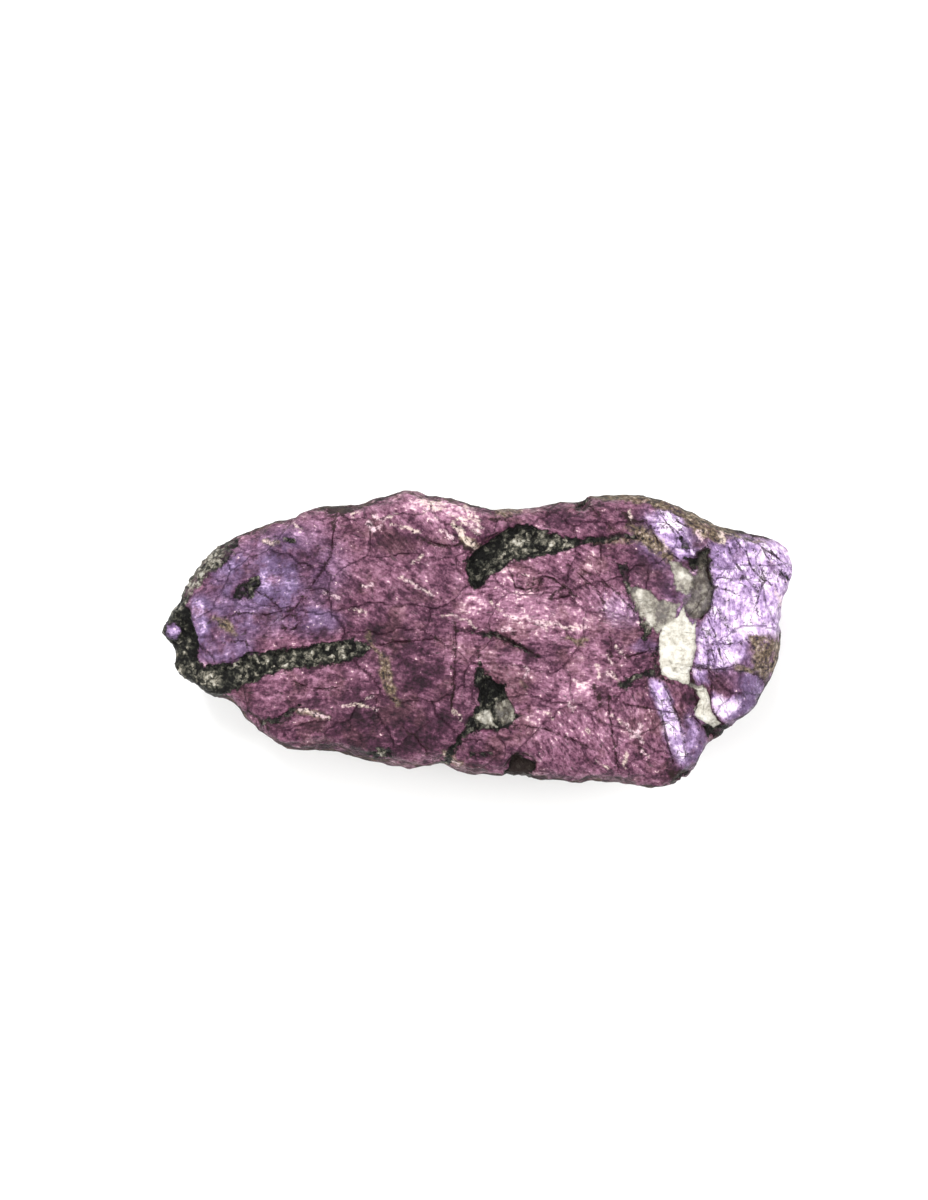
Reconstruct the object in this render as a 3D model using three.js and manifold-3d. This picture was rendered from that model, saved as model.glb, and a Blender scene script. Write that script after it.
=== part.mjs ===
// A hand specimen of purpurite: one loose stone, longer than wide, lying on its back with its best
// face up. The face is nearly flat and worn smooth, with a rounded rim. The sides are broken along
// fracture planes and lean in towards a small flat spot that the stone rests on. Veins of dark
// matrix have weathered back from the face, which leaves troughs, pockets and ledges in it.
// Lengths are in millimetres. +Z is up, X runs along the stone and the origin is under its middle.

import * as THREE from "three";
import { ImprovedNoise } from "three/addons/math/ImprovedNoise.js";
import { mergeVertices } from "three/addons/utils/BufferGeometryUtils.js";
import Module from "manifold-3d";

// Driving dimensions
const FACE_HEIGHT = 17.2; // the face above the table, before its swells
const WIDEST = 12; // height where the stone is widest
const SPINE_HALF = 21; // half the line along the middle that the rings close on
const AROUND = 124; // points round each ring
const FACE_RINGS = 10; // rings on the face, inside its rim
const BACK_RINGS = 9; // rings on the back, inside its edge
const RIM_WIDTH = 3.6; // from the outline in to where the face is level
const BACK_INSET = 4.6; // from the outline in to where the back begins
const BACK_EDGE = 1.5; // the edge of the back above the table
const BACK_DEPTH = 0.7; // how far the uncut back would bulge below the table

// The stone's outline seen from above, from the left tip along the far side and back
const OUTLINE = [
  [-39.4, 0.6], [-39.2, 1.8], [-38.6, 3.1], [-37.6, 4.2], [-37.0, 5.3], [-36.5, 6.7],
  [-35.4, 8.1], [-34.5, 9.2], [-33.5, 10.1], [-32.8, 11.2], [-31.0, 12.2], [-29.2, 13.1],
  [-27.2, 13.8], [-26.4, 14.4], [-24.8, 14.6], [-23.4, 14.8], [-21.8, 15.6], [-19.9, 16.2],
  [-17.4, 16.5], [-14.5, 16.8], [-12.4, 17.5], [-10.6, 18.0], [-9.0, 18.6], [-7.9, 18.5],
  [-6.0, 17.6], [-4.9, 17.7], [-2.8, 17.4], [-0.4, 16.6], [1.9, 16.1], [5.4, 16.0],
  [7.0, 16.2], [8.6, 16.8], [11.0, 16.9], [12.5, 16.9], [13.4, 17.6], [15.6, 17.8],
  [18.6, 17.8], [21.0, 17.5], [23.4, 17.3], [25.9, 16.4], [28.2, 15.3], [30.1, 13.9],
  [32.2, 13.4], [35.0, 12.7], [37.5, 12.0], [38.8, 11.2], [39.4, 9.7], [39.2, 7.3],
  [38.2, 5.1], [37.8, 2.9], [37.9, -0.1], [37.2, -3.2], [35.9, -6.1], [34.8, -8.7],
  [33.5, -9.9], [31.8, -10.6], [31.1, -11.7], [29.9, -12.6], [28.4, -13.3], [27.5, -15.6],
  [25.9, -17.3], [23.9, -18.4], [21.4, -18.6], [18.9, -18.1], [15.2, -17.8], [14.1, -17.6],
  [13.0, -18.2], [11.6, -17.9], [8.5, -17.5], [4.1, -17.2], [2.1, -16.9], [-2.0, -16.8],
  [-3.5, -16.1], [-4.5, -15.7], [-6.6, -16.3], [-10.1, -15.8], [-14.6, -14.9], [-19.0, -13.9],
  [-22.9, -13.7], [-24.6, -13.2], [-26.6, -11.9], [-28.4, -10.9], [-29.9, -8.7], [-30.8, -7.7],
  [-32.1, -7.3], [-33.2, -7.3], [-35.1, -5.9], [-37.1, -4.8], [-37.8, -3.2], [-37.7, -1.6],
  [-37.8, -0.8], [-39.1, -0.1],
];

// The rim and side in section: how far in from the outline, and how far below the face or, from
// the widest place down, above the table
const RIM_SECTION = [
  [RIM_WIDTH, 0.0],
  [2.3, 0.15],
  [1.4, 0.5],
  [0.75, 1.15],
  [0.25, 2.2],
  [0.0, 3.8],
];
const SIDE_SECTION = [
  [0.05, 11.4],
  [0.2, 9.4],
  [0.6, 7.4],
  [1.3, 5.2],
  [2.6, 3.2],
  [BACK_INSET, 1.6],
];

// Fracture planes that break the lower side and the back: the way each one faces, how steeply it
// leans in under the stone, and the height where it would meet the outline
const FRACTURES = [
  { facing: 6, lean: 38, height: 10.2 },
  { facing: 38, lean: 46, height: 9.6 },
  { facing: 66, lean: 40, height: 7.6 },
  { facing: 84, lean: 31, height: 8.4 },
  { facing: 99, lean: 52, height: 8.8 },
  { facing: 126, lean: 41, height: 10.6 },
  { facing: 155, lean: 52, height: 9.6 },
  { facing: 188, lean: 43, height: 9.4 },
  { facing: 221, lean: 50, height: 10.4 },
  { facing: 249, lean: 37, height: 8.8 },
  { facing: 268, lean: 48, height: 7.2 },
  { facing: 286, lean: 57, height: 8.4 },
  { facing: 315, lean: 45, height: 10.6 },
  { facing: 343, lean: 52, height: 8.0 },
  { facing: 92, lean: 72, height: 3.8 },
  { facing: 262, lean: 73, height: 3.6 },
  { facing: 22, lean: 70, height: 6.0 },
  { facing: 203, lean: 71, height: 5.4 },
];

// Veins and cracks that have weathered back from the face. Each is a chain of places along it, with
// x, y, how wide it is there and how deep.
const VEINS = [
  // the vein that runs in from the left end
  [
    [-33.6, -5.6, 3.6, 1.5], [-30.9, -5.1, 4.4, 1.4], [-29.0, -4.0, 4.0, 1.3],
    [-27.1, -3.1, 3.4, 1.2], [-25.6, -2.8, 2.3, 1.0], [-22.1, -2.2, 2.4, 1.1],
    [-19.6, -1.9, 2.6, 1.2], [-17.0, -1.6, 2.4, 1.0], [-14.6, -1.4, 1.6, 0.7],
    [-12.6, -1.4, 0.5, 0.1],
  ],
  // the pocket near the middle of the far side, and the thin vein that leaves it
  [
    [0.6, 5.8, 0.7, 0.2], [0.3, 6.8, 1.4, 0.9], [0.1, 8.2, 2.6, 1.4], [0.4, 9.4, 3.8, 1.8],
    [1.7, 10.5, 4.5, 1.9], [3.9, 11.7, 4.4, 2.0], [6.3, 12.2, 4.2, 1.8], [8.5, 11.9, 3.1, 1.5],
    [10.4, 11.8, 2.0, 1.2], [12.5, 11.9, 1.1, 0.8], [16.0, 12.3, 0.8, 0.6], [20.6, 12.4, 0.5, 0.1],
  ],
  // the crevice near the middle of the near side, and its tail down to the edge
  [
    [-0.2, -2.4, 0.6, 0.1], [0.9, -4.0, 1.5, 0.9], [1.8, -5.7, 2.9, 1.8], [1.9, -7.6, 3.4, 1.9],
    [2.5, -9.2, 4.4, 1.6], [1.3, -10.7, 2.4, 1.2], [-0.5, -11.4, 1.1, 0.9],
    [-1.9, -12.4, 0.9, 0.8], [-3.1, -13.9, 1.0, 0.8], [-3.9, -15.4, 1.8, 1.2],
    [-4.6, -17.2, 2.6, 1.6],
  ],
  // the lens at the middle, which runs out as a crack
  [
    [-1.2, 1.1, 0.5, 0.1], [0.5, 0.8, 1.2, 0.8], [2.8, 0.3, 1.2, 0.9], [5.4, -0.7, 0.6, 0.4],
    [7.7, -2.2, 0.4, 0.1],
  ],
  // the lens near the left of the near side
  [
    [-26.7, -10.8, 0.5, 0.1], [-25.3, -10.2, 1.1, 0.7], [-23.4, -9.4, 1.2, 0.8],
    [-21.7, -8.7, 0.5, 0.1],
  ],
  // the patch near the left of the far side
  [
    [-29.9, 5.3, 0.8, 0.2], [-28.5, 6.3, 1.8, 0.8], [-27.1, 7.2, 1.4, 0.6], [-26.2, 8.1, 0.5, 0.1],
  ],
  // the vein that parts the right end from the rest, with its hole
  [
    [20.8, 13.8, 0.5, 0.1], [22.9, 11.7, 0.9, 0.5], [25.2, 9.5, 1.4, 0.9], [26.6, 8.9, 2.3, 1.9],
    [27.4, 7.4, 1.8, 1.0], [28.2, 4.6, 1.2, 0.7], [28.3, 0.9, 1.0, 0.7], [28.3, -1.6, 0.8, 0.6],
    [28.9, -4.0, 0.9, 0.7], [29.0, -6.8, 0.9, 0.7], [29.2, -9.3, 1.3, 1.1],
    [29.6, -11.2, 2.6, 2.2], [30.2, -13.6, 3.4, 2.8],
  ],
  // the groove along the left of the strip of quartz
  [
    [26.4, -3.2, 0.5, 0.1], [26.8, -6.0, 0.7, 0.6], [26.9, -8.8, 0.9, 0.8],
    [27.7, -10.4, 1.0, 1.0], [29.0, -11.4, 1.4, 1.4],
  ],
  // the dark vein left of the quartz
  [
    [17.4, -5.6, 0.5, 0.1], [18.9, -4.9, 0.9, 0.6], [20.8, -4.4, 0.9, 0.5], [22.6, -4.1, 0.5, 0.1],
  ],
  // the long crack across the left part
  [
    [-17.3, 14.2, 0.5, 0.1], [-18.0, 11.7, 0.8, 0.5], [-18.3, 9.6, 0.8, 0.5],
    [-20.0, 7.2, 0.8, 0.5], [-21.0, 5.1, 0.8, 0.5], [-22.6, 3.7, 0.9, 0.6],
    [-25.3, 3.2, 0.8, 0.4], [-29.6, 3.3, 0.5, 0.1],
  ],
  // the crack across the right end
  [
    [26.4, -3.5, 0.5, 0.1], [28.8, -3.6, 0.8, 0.5], [30.6, -3.6, 0.8, 0.5], [32.4, -3.1, 0.5, 0.1],
  ],
];

// Places where the face has broken away down to a ledge: outline, depth and how far the wall leans
const CHIPS = [
  {
    // the ledge of matrix round the left end, open to the side
    depth: 1.6,
    lean: 0.7,
    outline: [
      [-44.0, 5.8], [-37.6, 5.2], [-35.6, 4.2], [-35.0, 2.6], [-34.4, 0.8], [-33.8, -0.6],
      [-33.2, -2.4], [-31.6, -3.6], [-30.4, -5.6], [-31.4, -7.4], [-33.0, -10.0], [-44.0, -9.0],
    ],
  },
  {
    // the chip at the near edge
    depth: 1.6,
    lean: 0.5,
    outline: [
      [4.0, -14.0], [5.6, -13.8], [7.2, -14.5], [8.2, -15.5], [7.2, -16.7], [6.8, -21.0],
      [2.0, -21.0], [2.8, -16.2],
    ],
  },
  {
    // the notch in the far edge
    depth: 3.6,
    lean: 0.4,
    outline: [[12.2, 21.0], [14.4, 21.0], [14.3, 16.4], [13.3, 15.4], [12.3, 15.7]],
  },
  {
    // the chip off the near right corner
    depth: 1.8,
    lean: 0.6,
    outline: [[23.8, -17.8], [25.0, -16.0], [26.6, -15.5], [30.0, -18.4], [25.0, -22.0]],
  },
];

// The round knob of phosphate that stands on the ledge at the left tip
const KNOB = { at: [-37.7, 0.95], radius: 1.5, height: 14.3 };

const noise = new ImprovedNoise();
const wasm = await Module();
wasm.setup();

// Smooth noise of a given wavelength, about -0.7 to 0.7
function rough(x, y, z, wavelength) {
  return noise.noise(x / wavelength + 7.3, y / wavelength + 3.1, z / wavelength + 5.7);
}

// Height of the worn face: broad swells, and its two ends fall away a little
function faceHeight(x, y) {
  const swell = 1.2 * rough(x, y, 0, 21) + 0.6 * rough(x, y, 9, 8) + 0.3 * rough(x, y, 4, 3.6);
  const rightFall = 0.085 * Math.max(0, x - 25);
  const leftFall = 0.075 * Math.max(0, -19 - x);
  const dome = 0.0034 * (y + 1) ** 2;
  return FACE_HEIGHT + swell - rightFall - leftFall - dome;
}

// Height of the back before it is cut flat where the stone rests, out from its middle to its edge
function backHeight(x, y, out) {
  const bulge = (BACK_DEPTH + BACK_EDGE) * out ** 1.6 - BACK_DEPTH;
  return bulge + (1.5 * rough(x, y, 20, 12) + 0.6 * rough(x, y, 25, 5)) * (0.45 + 0.55 * out);
}

// Lifts a point of the lower side or the back onto the highest fracture plane under it. The planes
// are a little uneven.
function broken(x, y, z) {
  const heights = FRACTURES.map(({ facing, lean, height }) => {
    const turn = THREE.MathUtils.degToRad(facing);
    const ahead = ([px, py]) => px * Math.cos(turn) + py * Math.sin(turn);
    const reach = Math.max(...OUTLINE.map(ahead));
    const uneven = 0.6 * rough(x, y, facing, 7) + 0.35 * rough(x, y, facing, 3.2);
    return height + (ahead([x, y]) - reach) / Math.tan(THREE.MathUtils.degToRad(lean)) + uneven;
  });
  return Math.max(z, ...heights);
}

// The outline as points evenly spaced along its far and near sides, starting at the left tip
function outlinePoints() {
  const curve = new THREE.CatmullRomCurve3(
    OUTLINE.map(([x, y]) => new THREE.Vector3(x, y, 0)),
    true,
    "centripetal",
  );
  curve.arcLengthDivisions = 2000;
  return curve.getSpacedPoints(AROUND).slice(0, AROUND);
}

// For each point of the outline, the place on the spine that it closes on. A point on the far side
// shares its place with the one that mirrors it in number on the near side.
function spinePlaces(outline) {
  return outline.map((point, i) => {
    const mirror = outline[(AROUND - i) % AROUND];
    const x = (point.x + mirror.x) / 2;
    return new THREE.Vector2(THREE.MathUtils.clamp(x * 0.8, -SPINE_HALF, SPINE_HALF), 0);
  });
}

// The outline with its bumps worn off and its dents kept
function wornOutline(outline, spine) {
  return outline.map((edge, i) => {
    const near = [-5, -4, -3, -2, -1, 0, 1, 2, 3, 4, 5];
    const sum = new THREE.Vector3();
    for (const k of near) sum.add(outline[(i + k + AROUND) % AROUND]);
    const mean = sum.divideScalar(near.length);
    const reach = Math.hypot(edge.x - spine[i].x, edge.y - spine[i].y);
    const meanReach = Math.hypot(mean.x - spine[i].x, mean.y - spine[i].y);
    const share = Math.min(meanReach / reach, 1);
    const x = THREE.MathUtils.lerp(spine[i].x, edge.x, share);
    const y = THREE.MathUtils.lerp(spine[i].y, edge.y, share);
    return new THREE.Vector3(x, y, 0);
  });
}

// One ring of points, inset from an outline, with its height from a function
function ring(outline, spine, insetAt, heightAt) {
  return outline.map((edge, i) => {
    const reach = Math.hypot(edge.x - spine[i].x, edge.y - spine[i].y);
    const share = Math.min(insetAt(edge, reach) / reach, 1);
    const x = THREE.MathUtils.lerp(edge.x, spine[i].x, share);
    const y = THREE.MathUtils.lerp(edge.y, spine[i].y, share);
    return new THREE.Vector3(x, y, heightAt(x, y, share));
  });
}

// The rings from the middle of the back, round the side, to the middle of the face
function stoneRings() {
  const outline = outlinePoints();
  const spine = spinePlaces(outline);
  const worn = wornOutline(outline, spine);
  const rings = [];
  for (let k = 0; k < BACK_RINGS; k++) {
    const out = k / BACK_RINGS;
    const inset = (edge, reach) => reach - (reach - BACK_INSET) * out;
    rings.push(ring(worn, spine, inset, (x, y) => broken(x, y, backHeight(x, y, out))));
  }
  for (const [inset, height] of [...SIDE_SECTION].reverse()) {
    const below = Math.min((WIDEST - height) / 5, 1);
    const edges = outline.map((edge, i) => edge.clone().lerp(worn[i], below));
    const bump = (edge) => 1.3 * below * Math.abs(rough(edge.x, edge.y, height * 1.6, 6.5));
    const inward = (edge) => inset * (1 + 0.7 * rough(edge.x, edge.y, height, 9)) + bump(edge);
    const level = (x, y) => broken(x, y, height + 1.2 * rough(x, y, 30, 11));
    rings.push(ring(edges, spine, inward, level));
  }
  for (const [inset, drop] of [...RIM_SECTION].reverse()) {
    const wear = (edge) => 1 + 1.1 * rough(edge.x, edge.y, 50, 8) + 0.5 * rough(edge.x, edge.y, 40, 3);
    const inward = (edge) => inset * Math.max(0.35, wear(edge));
    rings.push(ring(outline, spine, inward, (x, y) => faceHeight(x, y) - drop));
  }
  for (let k = 1; k <= FACE_RINGS; k++) {
    const inward = k / FACE_RINGS;
    const start = RIM_WIDTH * 1.6;
    const inset = (edge, reach) => start + (reach - start) * inward;
    rings.push(ring(outline, spine, inset, faceHeight));
  }
  return rings;
}

// Joins neighbouring rings with triangles. The first and last rings are folded shut.
function skin(rings) {
  const around = rings[0].length;
  const positions = rings.flat().flatMap((p) => [p.x, p.y, p.z]);
  const index = [];
  for (let r = 0; r + 1 < rings.length; r++) {
    for (let i = 0; i < around; i++) {
      const next = (i + 1) % around;
      const [a, b] = [r * around + i, r * around + next];
      const [c, d] = [a + around, b + around];
      index.push(a, c, b, b, c, d);
    }
  }
  const geometry = new THREE.BufferGeometry();
  geometry.setAttribute("position", new THREE.Float32BufferAttribute(positions, 3));
  geometry.setIndex(index);
  return geometry;
}

// A closed geometry as a solid that can be cut and joined
function solid(geometry) {
  const bare = geometry.clone();
  bare.deleteAttribute("normal");
  bare.deleteAttribute("uv");
  const merged = mergeVertices(bare, 1e-3);
  const corners = merged.index.array;
  const triangles = [];
  for (let i = 0; i < corners.length; i += 3) {
    const [a, b, c] = corners.slice(i, i + 3);
    if (a !== b && b !== c && c !== a) triangles.push(a, b, c);
  }
  return new wasm.Manifold(
    new wasm.Mesh({
      numProp: 3,
      vertProperties: merged.attributes.position.array,
      triVerts: new Uint32Array(triangles),
    }),
  );
}

// Everything below the table
function belowTable() {
  const box = new THREE.BoxGeometry(120, 80, 20);
  return solid(box.translate(0, 0, -10));
}

// The section of a vein across one of its places: a shallow trapezium that stands a little above
// the face, with a floor that dips to one side
function veinSection(vein, i) {
  const [x, y, width, depth] = vein[i];
  const before = vein[Math.max(i - 1, 0)];
  const after = vein[Math.min(i + 1, vein.length - 1)];
  const along = new THREE.Vector2(after[0] - before[0], after[1] - before[1]).normalize();
  const half = width / 2;
  const lean = Math.min(0.55, (0.7 * half) / depth);
  const top = 1.2;
  const corners = [
    [half + lean * top, top],
    [half - lean * depth, -0.85 * depth],
    [0.25 * half, -depth],
    [lean * depth - half, -0.7 * depth],
    [-half - lean * top, top],
  ];
  const level = faceHeight(x, y);
  return corners.map(
    ([side, rise]) => new THREE.Vector3(x - along.y * side, y + along.x * side, level + rise),
  );
}

// The tool that cuts one vein: a skin over its sections, closed to a point at each end
function veinTool(vein) {
  const sections = vein.map((place, i) => veinSection(vein, i));
  const closed = (section) => {
    const sum = section.reduce((total, p) => total.add(p), new THREE.Vector3());
    const middle = sum.divideScalar(section.length);
    return section.map(() => middle.clone());
  };
  return solid(skin([closed(sections[0]), ...sections, closed(sections.at(-1))]));
}

// The tool that cuts one chip: its outline, drawn in a little at the floor
function chipTool({ depth, lean, outline }) {
  const shape = new THREE.Shape(outline.map(([x, y]) => new THREE.Vector2(x, y)));
  const tool = new THREE.ExtrudeGeometry(shape, {
    depth: 8,
    bevelThickness: depth,
    bevelSize: lean,
    bevelOffset: -lean,
    bevelSegments: 1,
  });
  const middle = outline.reduce(([a, b], [x, y]) => [a + x, b + y], [0, 0]);
  const [x, y] = middle.map((sum) => sum / outline.length);
  tool.translate(0, 0, faceHeight(x, y));
  return solid(tool);
}

// The knob at the left tip, a flattened ball
function knob() {
  const ball = new THREE.SphereGeometry(KNOB.radius, 14, 9);
  ball.scale(1, 1, 0.8);
  ball.rotateX(Math.PI / 2);
  ball.translate(...KNOB.at, KNOB.height);
  return solid(ball);
}

// The whole stone
function stone() {
  let body = solid(skin(stoneRings()));
  for (const vein of VEINS) body = body.subtract(veinTool(vein));
  for (const chip of CHIPS) body = body.subtract(chipTool(chip));
  body = body.add(knob());
  return body.subtract(belowTable());
}

// A solid as a geometry, with the origin under the middle of its box
function geometryOf(body) {
  const mesh = body.getMesh();
  const geometry = new THREE.BufferGeometry();
  geometry.setAttribute("position", new THREE.BufferAttribute(mesh.vertProperties, 3));
  geometry.setIndex(new THREE.BufferAttribute(mesh.triVerts, 1));
  geometry.computeBoundingBox();
  const middle = geometry.boundingBox.getCenter(new THREE.Vector3());
  geometry.translate(-middle.x, -middle.y, -geometry.boundingBox.min.z);
  geometry.computeVertexNormals();
  return geometry;
}

const purpurite = new THREE.Mesh(
  geometryOf(stone()),
  new THREE.MeshStandardMaterial({ color: 0x7c5371, roughness: 0.5, metalness: 0.0 }),
);
purpurite.name = "purpurite";

const specimen = new THREE.Group();
specimen.add(purpurite);

export default specimen;
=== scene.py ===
"""A hand specimen of purpurite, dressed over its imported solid, on a pale floor.

Run in Blender as a script. The stone is one piece. Its mesh starts as a copy of the solid, which
gives it its outline, its sides and its hollows, and gets the finer relief of the real stone. What
grows where on the stone is kept on the mesh as attributes, and one material reads them.

Lengths in the tables are millimetres in the solid's frame: X along the stone, Y across it, Z up.
"""

import math
import random

import bmesh
import bpy
import numpy as np
from bpy.props import FloatProperty, FloatVectorProperty, IntProperty, PointerProperty
from bpy.types import Operator, Panel, PropertyGroup
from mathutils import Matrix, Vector, noise


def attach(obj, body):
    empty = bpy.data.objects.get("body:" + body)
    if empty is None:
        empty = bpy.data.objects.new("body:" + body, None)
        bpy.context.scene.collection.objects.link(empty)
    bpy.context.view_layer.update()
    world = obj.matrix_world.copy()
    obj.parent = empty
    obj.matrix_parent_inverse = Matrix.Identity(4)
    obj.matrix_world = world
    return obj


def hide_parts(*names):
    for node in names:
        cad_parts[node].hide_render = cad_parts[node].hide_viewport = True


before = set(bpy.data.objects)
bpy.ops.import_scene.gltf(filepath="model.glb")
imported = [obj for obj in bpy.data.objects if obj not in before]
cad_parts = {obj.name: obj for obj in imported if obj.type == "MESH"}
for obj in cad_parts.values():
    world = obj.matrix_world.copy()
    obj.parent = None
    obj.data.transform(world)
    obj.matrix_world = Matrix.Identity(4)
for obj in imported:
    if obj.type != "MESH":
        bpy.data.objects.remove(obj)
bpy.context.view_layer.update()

bl_info = {
    "name": "Purpurite specimen",
    "version": (1, 0, 0),
    "blender": (4, 5, 0),
    "location": "3D View > Sidebar > Purpurite",
    "description": "Dresses the solid of a purpurite hand specimen and sets a stage for it",
    "category": "Object",
}

MM = 0.001
NODE = "purpurite"

# What the photograph's frame shows: 928 by 1200 pixels, 8 of them to a millimetre at the height
# where the stone is widest. The stone's middle is a little right of the frame's and below it.
FRAME_HEIGHT_MM = 150.0
FRAME_MIDDLE_MM = (-1.6, 4.8)
WIDEST_MM = 12.5
CAMERA_AWAY = 0.42  # metres above the widest height

# The soft lights: name, place in metres, size in metres and power in watts
LIGHTS = [
    ("window", (-0.1, 0.3, 0.5), 0.2, 2.6),
    ("left fill", (-0.55, -0.05, 0.45), 0.45, 1.7),
    ("right fill", (0.5, 0.1, 0.45), 0.45, 1.7),
    ("near fill", (0.05, -0.5, 0.5), 0.45, 1.5),
]
SURROUNDINGS = 0.85  # how bright the white surroundings are
FLOOR_HALF = 2.0  # metres from the middle of the floor to its edges

# Heights in millimetres: the table with what rests on it, where the broken sides begin to turn
# into the worn face, where that turn ends, and below which the veins begin to wander
RESTS_BELOW = 0.05
TURN_FROM = 9.0
TURN_TO = 13.0
WANDER_BELOW = 14.0
# The mesh is finest beside cracks and rock above this height
FINEST_FROM = 11.0
FACES_UP = 0.25  # the upward part of a normal from which a face of the mesh is made finer

CRYSTAL_GRAINS = 150  # long grains of purple in the whole stone
GRAIN_SEED = 41
SILK_SEED = 19
FACET_SEED = 7
FAR = 1e3  # millimetres: further than any two places on the stone

# The tables below were placed one by one. A patch is a list of its corners. A chain is a list of
# places with x, y and its width there. An oval is x, y, half length, half width, turn in degrees
# and strength.

# The chip at the near edge, where the rock is plain brown-black
CHIP = [(4.3, -14.1), (5.6, -14.3), (7.5, -15.4), (6.8, -17.0), (6.6, -20.0), (2.5, -20.0),
        (3.3, -17.1), (4.1, -15.6)]
# The dark rock: the ledge with the vein that leaves it, the far pocket, the near pocket, the dark
# corner between the two lavender parts, and the chip
ROCK = [
    [(-44.0, 5.4), (-38.2, 4.9), (-36.3, 4.1), (-35.6, 2.7), (-35.2, 1.1), (-34.6, 0.0),
     (-34.4, -1.3), (-34.6, -2.6), (-34.0, -3.4), (-31.9, -3.3), (-30.4, -2.9), (-29.3, -2.1),
     (-27.7, -1.8), (-26.1, -1.8), (-24.0, -1.4), (-21.9, -1.0), (-19.8, -0.6), (-17.7, -0.5),
     (-15.9, -0.3), (-14.3, -0.4), (-13.0, -1.2), (-13.5, -1.7), (-14.6, -2.2), (-16.4, -2.7),
     (-18.5, -3.1), (-20.9, -3.5), (-24.0, -3.8), (-25.6, -4.2), (-26.9, -5.0), (-28.3, -5.6),
     (-29.6, -6.3), (-30.9, -6.8), (-31.9, -7.6), (-33.0, -10.0), (-44.0, -9.0)],
    [(-1.5, 9.6), (0.0, 10.8), (1.2, 11.7), (2.6, 12.7), (3.9, 13.7), (5.4, 14.2), (7.0, 14.0),
     (8.1, 13.4), (9.7, 12.9), (11.2, 12.5), (12.8, 12.0), (13.9, 11.9), (12.3, 11.3),
     (11.0, 10.9), (9.7, 10.5), (8.1, 10.3), (6.2, 9.9), (4.4, 9.5), (3.3, 8.7), (2.0, 8.2),
     (1.0, 7.4), (0.4, 6.3), (-0.3, 5.9), (-0.9, 7.4)],
    [(0.4, -2.4), (1.0, -4.2), (2.0, -5.2), (3.3, -5.5), (3.5, -6.8), (4.4, -8.1), (5.5, -9.6),
     (4.7, -10.2), (3.9, -10.9), (3.1, -11.0), (2.0, -11.3), (0.7, -11.1), (-0.9, -11.7),
     (-2.2, -13.2), (-2.9, -14.2), (-3.6, -15.9), (-4.6, -15.8), (-3.7, -14.2), (-2.6, -12.6),
     (-1.4, -11.2), (-0.9, -9.9), (-0.1, -7.9), (0.3, -6.5), (-0.3, -5.2), (-0.1, -3.9)],
    [(25.8, 10.0), (26.5, 9.8), (27.4, 9.9), (28.2, 11.2), (28.7, 10.9), (28.6, 8.8), (27.4, 8.4),
     (26.2, 8.9)],
    CHIP,
]
# Thin veins and small spots of the same rock
ROCK_VEINS = [
    [(12.5, 11.9, 1.0), (16.0, 12.2, 0.8), (17.9, 12.6, 0.9), (20.6, 12.4, 0.3)],
    [(-1.2, 1.1, 0.2), (0.5, 0.8, 0.6), (2.8, 0.3, 0.7), (5.4, -0.7, 0.2), (7.7, -2.2, 0.0)],
    [(-26.7, -10.8, 0.3), (-25.3, -10.2, 1.0), (-23.4, -9.4, 1.1), (-21.7, -8.7, 0.3)],
    [(-29.6, 5.3, 0.8), (-28.8, 6.0, 1.5), (-27.8, 6.8, 1.7), (-27.2, 7.5, 0.6)],
    [(17.8, -5.6, 0.4), (18.9, -5.2, 1.1), (20.2, -4.6, 1.0), (22.2, -4.3, 0.6)],
    [(-23.8, 12.2, 0.5), (-23.2, 12.3, 0.7)],
    [(-13.4, -14.2, 0.6), (-12.1, -14.1, 1.2), (-10.9, -14.3, 0.9)],
    [(24.2, -17.8, 0.6), (25.3, -16.9, 1.3), (26.2, -16.4, 0.5)],
    [(-1.4, -14.6, 0.3), (0.1, -14.4, 0.7), (1.8, -14.3, 0.3)],
    [(17.4, 9.6, 0.5), (18.1, 9.0, 1.1), (18.6, 7.4, 1.0), (18.9, 5.6, 0.8), (19.9, 3.6, 0.5)],
    [(20.6, 2.3, 0.5), (21.1, 1.2, 1.0), (20.9, -0.2, 0.7)],
    [(22.3, -1.0, 0.3), (22.2, -2.9, 0.4), (22.9, -4.6, 0.4), (24.2, -5.4, 0.2)],
    [(0.0, -2.1, 0.4), (0.4, -3.1, 0.6), (0.0, -4.1, 0.4)],
    [(28.4, 9.6, 0.5), (28.9, 7.6, 0.5), (29.2, 5.9, 0.4), (29.0, 4.0, 0.4), (27.6, 2.9, 0.3)],
    [(37.9, 8.4, 0.5), (38.6, 7.4, 0.8)],
    [(28.2, -10.6, 0.7), (29.4, -11.5, 1.5), (31.2, -11.6, 1.5)],
    [(12.4, 16.0, 0.4), (13.1, 16.7, 1.0), (14.0, 17.2, 0.9)],
    [(25.1, 12.4, 0.5), (25.7, 11.8, 0.9), (26.2, 11.3, 0.3)],
    [(-37.3, 4.2, 1.4), (-35.2, 6.8, 1.9), (-33.8, 8.7, 1.9), (-32.0, 10.4, 1.9),
     (-30.3, 11.9, 1.2)],
    [(-35.9, 3.6, 0.6), (-35.6, 1.8, 0.8), (-35.0, 0.1, 0.5)],
]
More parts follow.
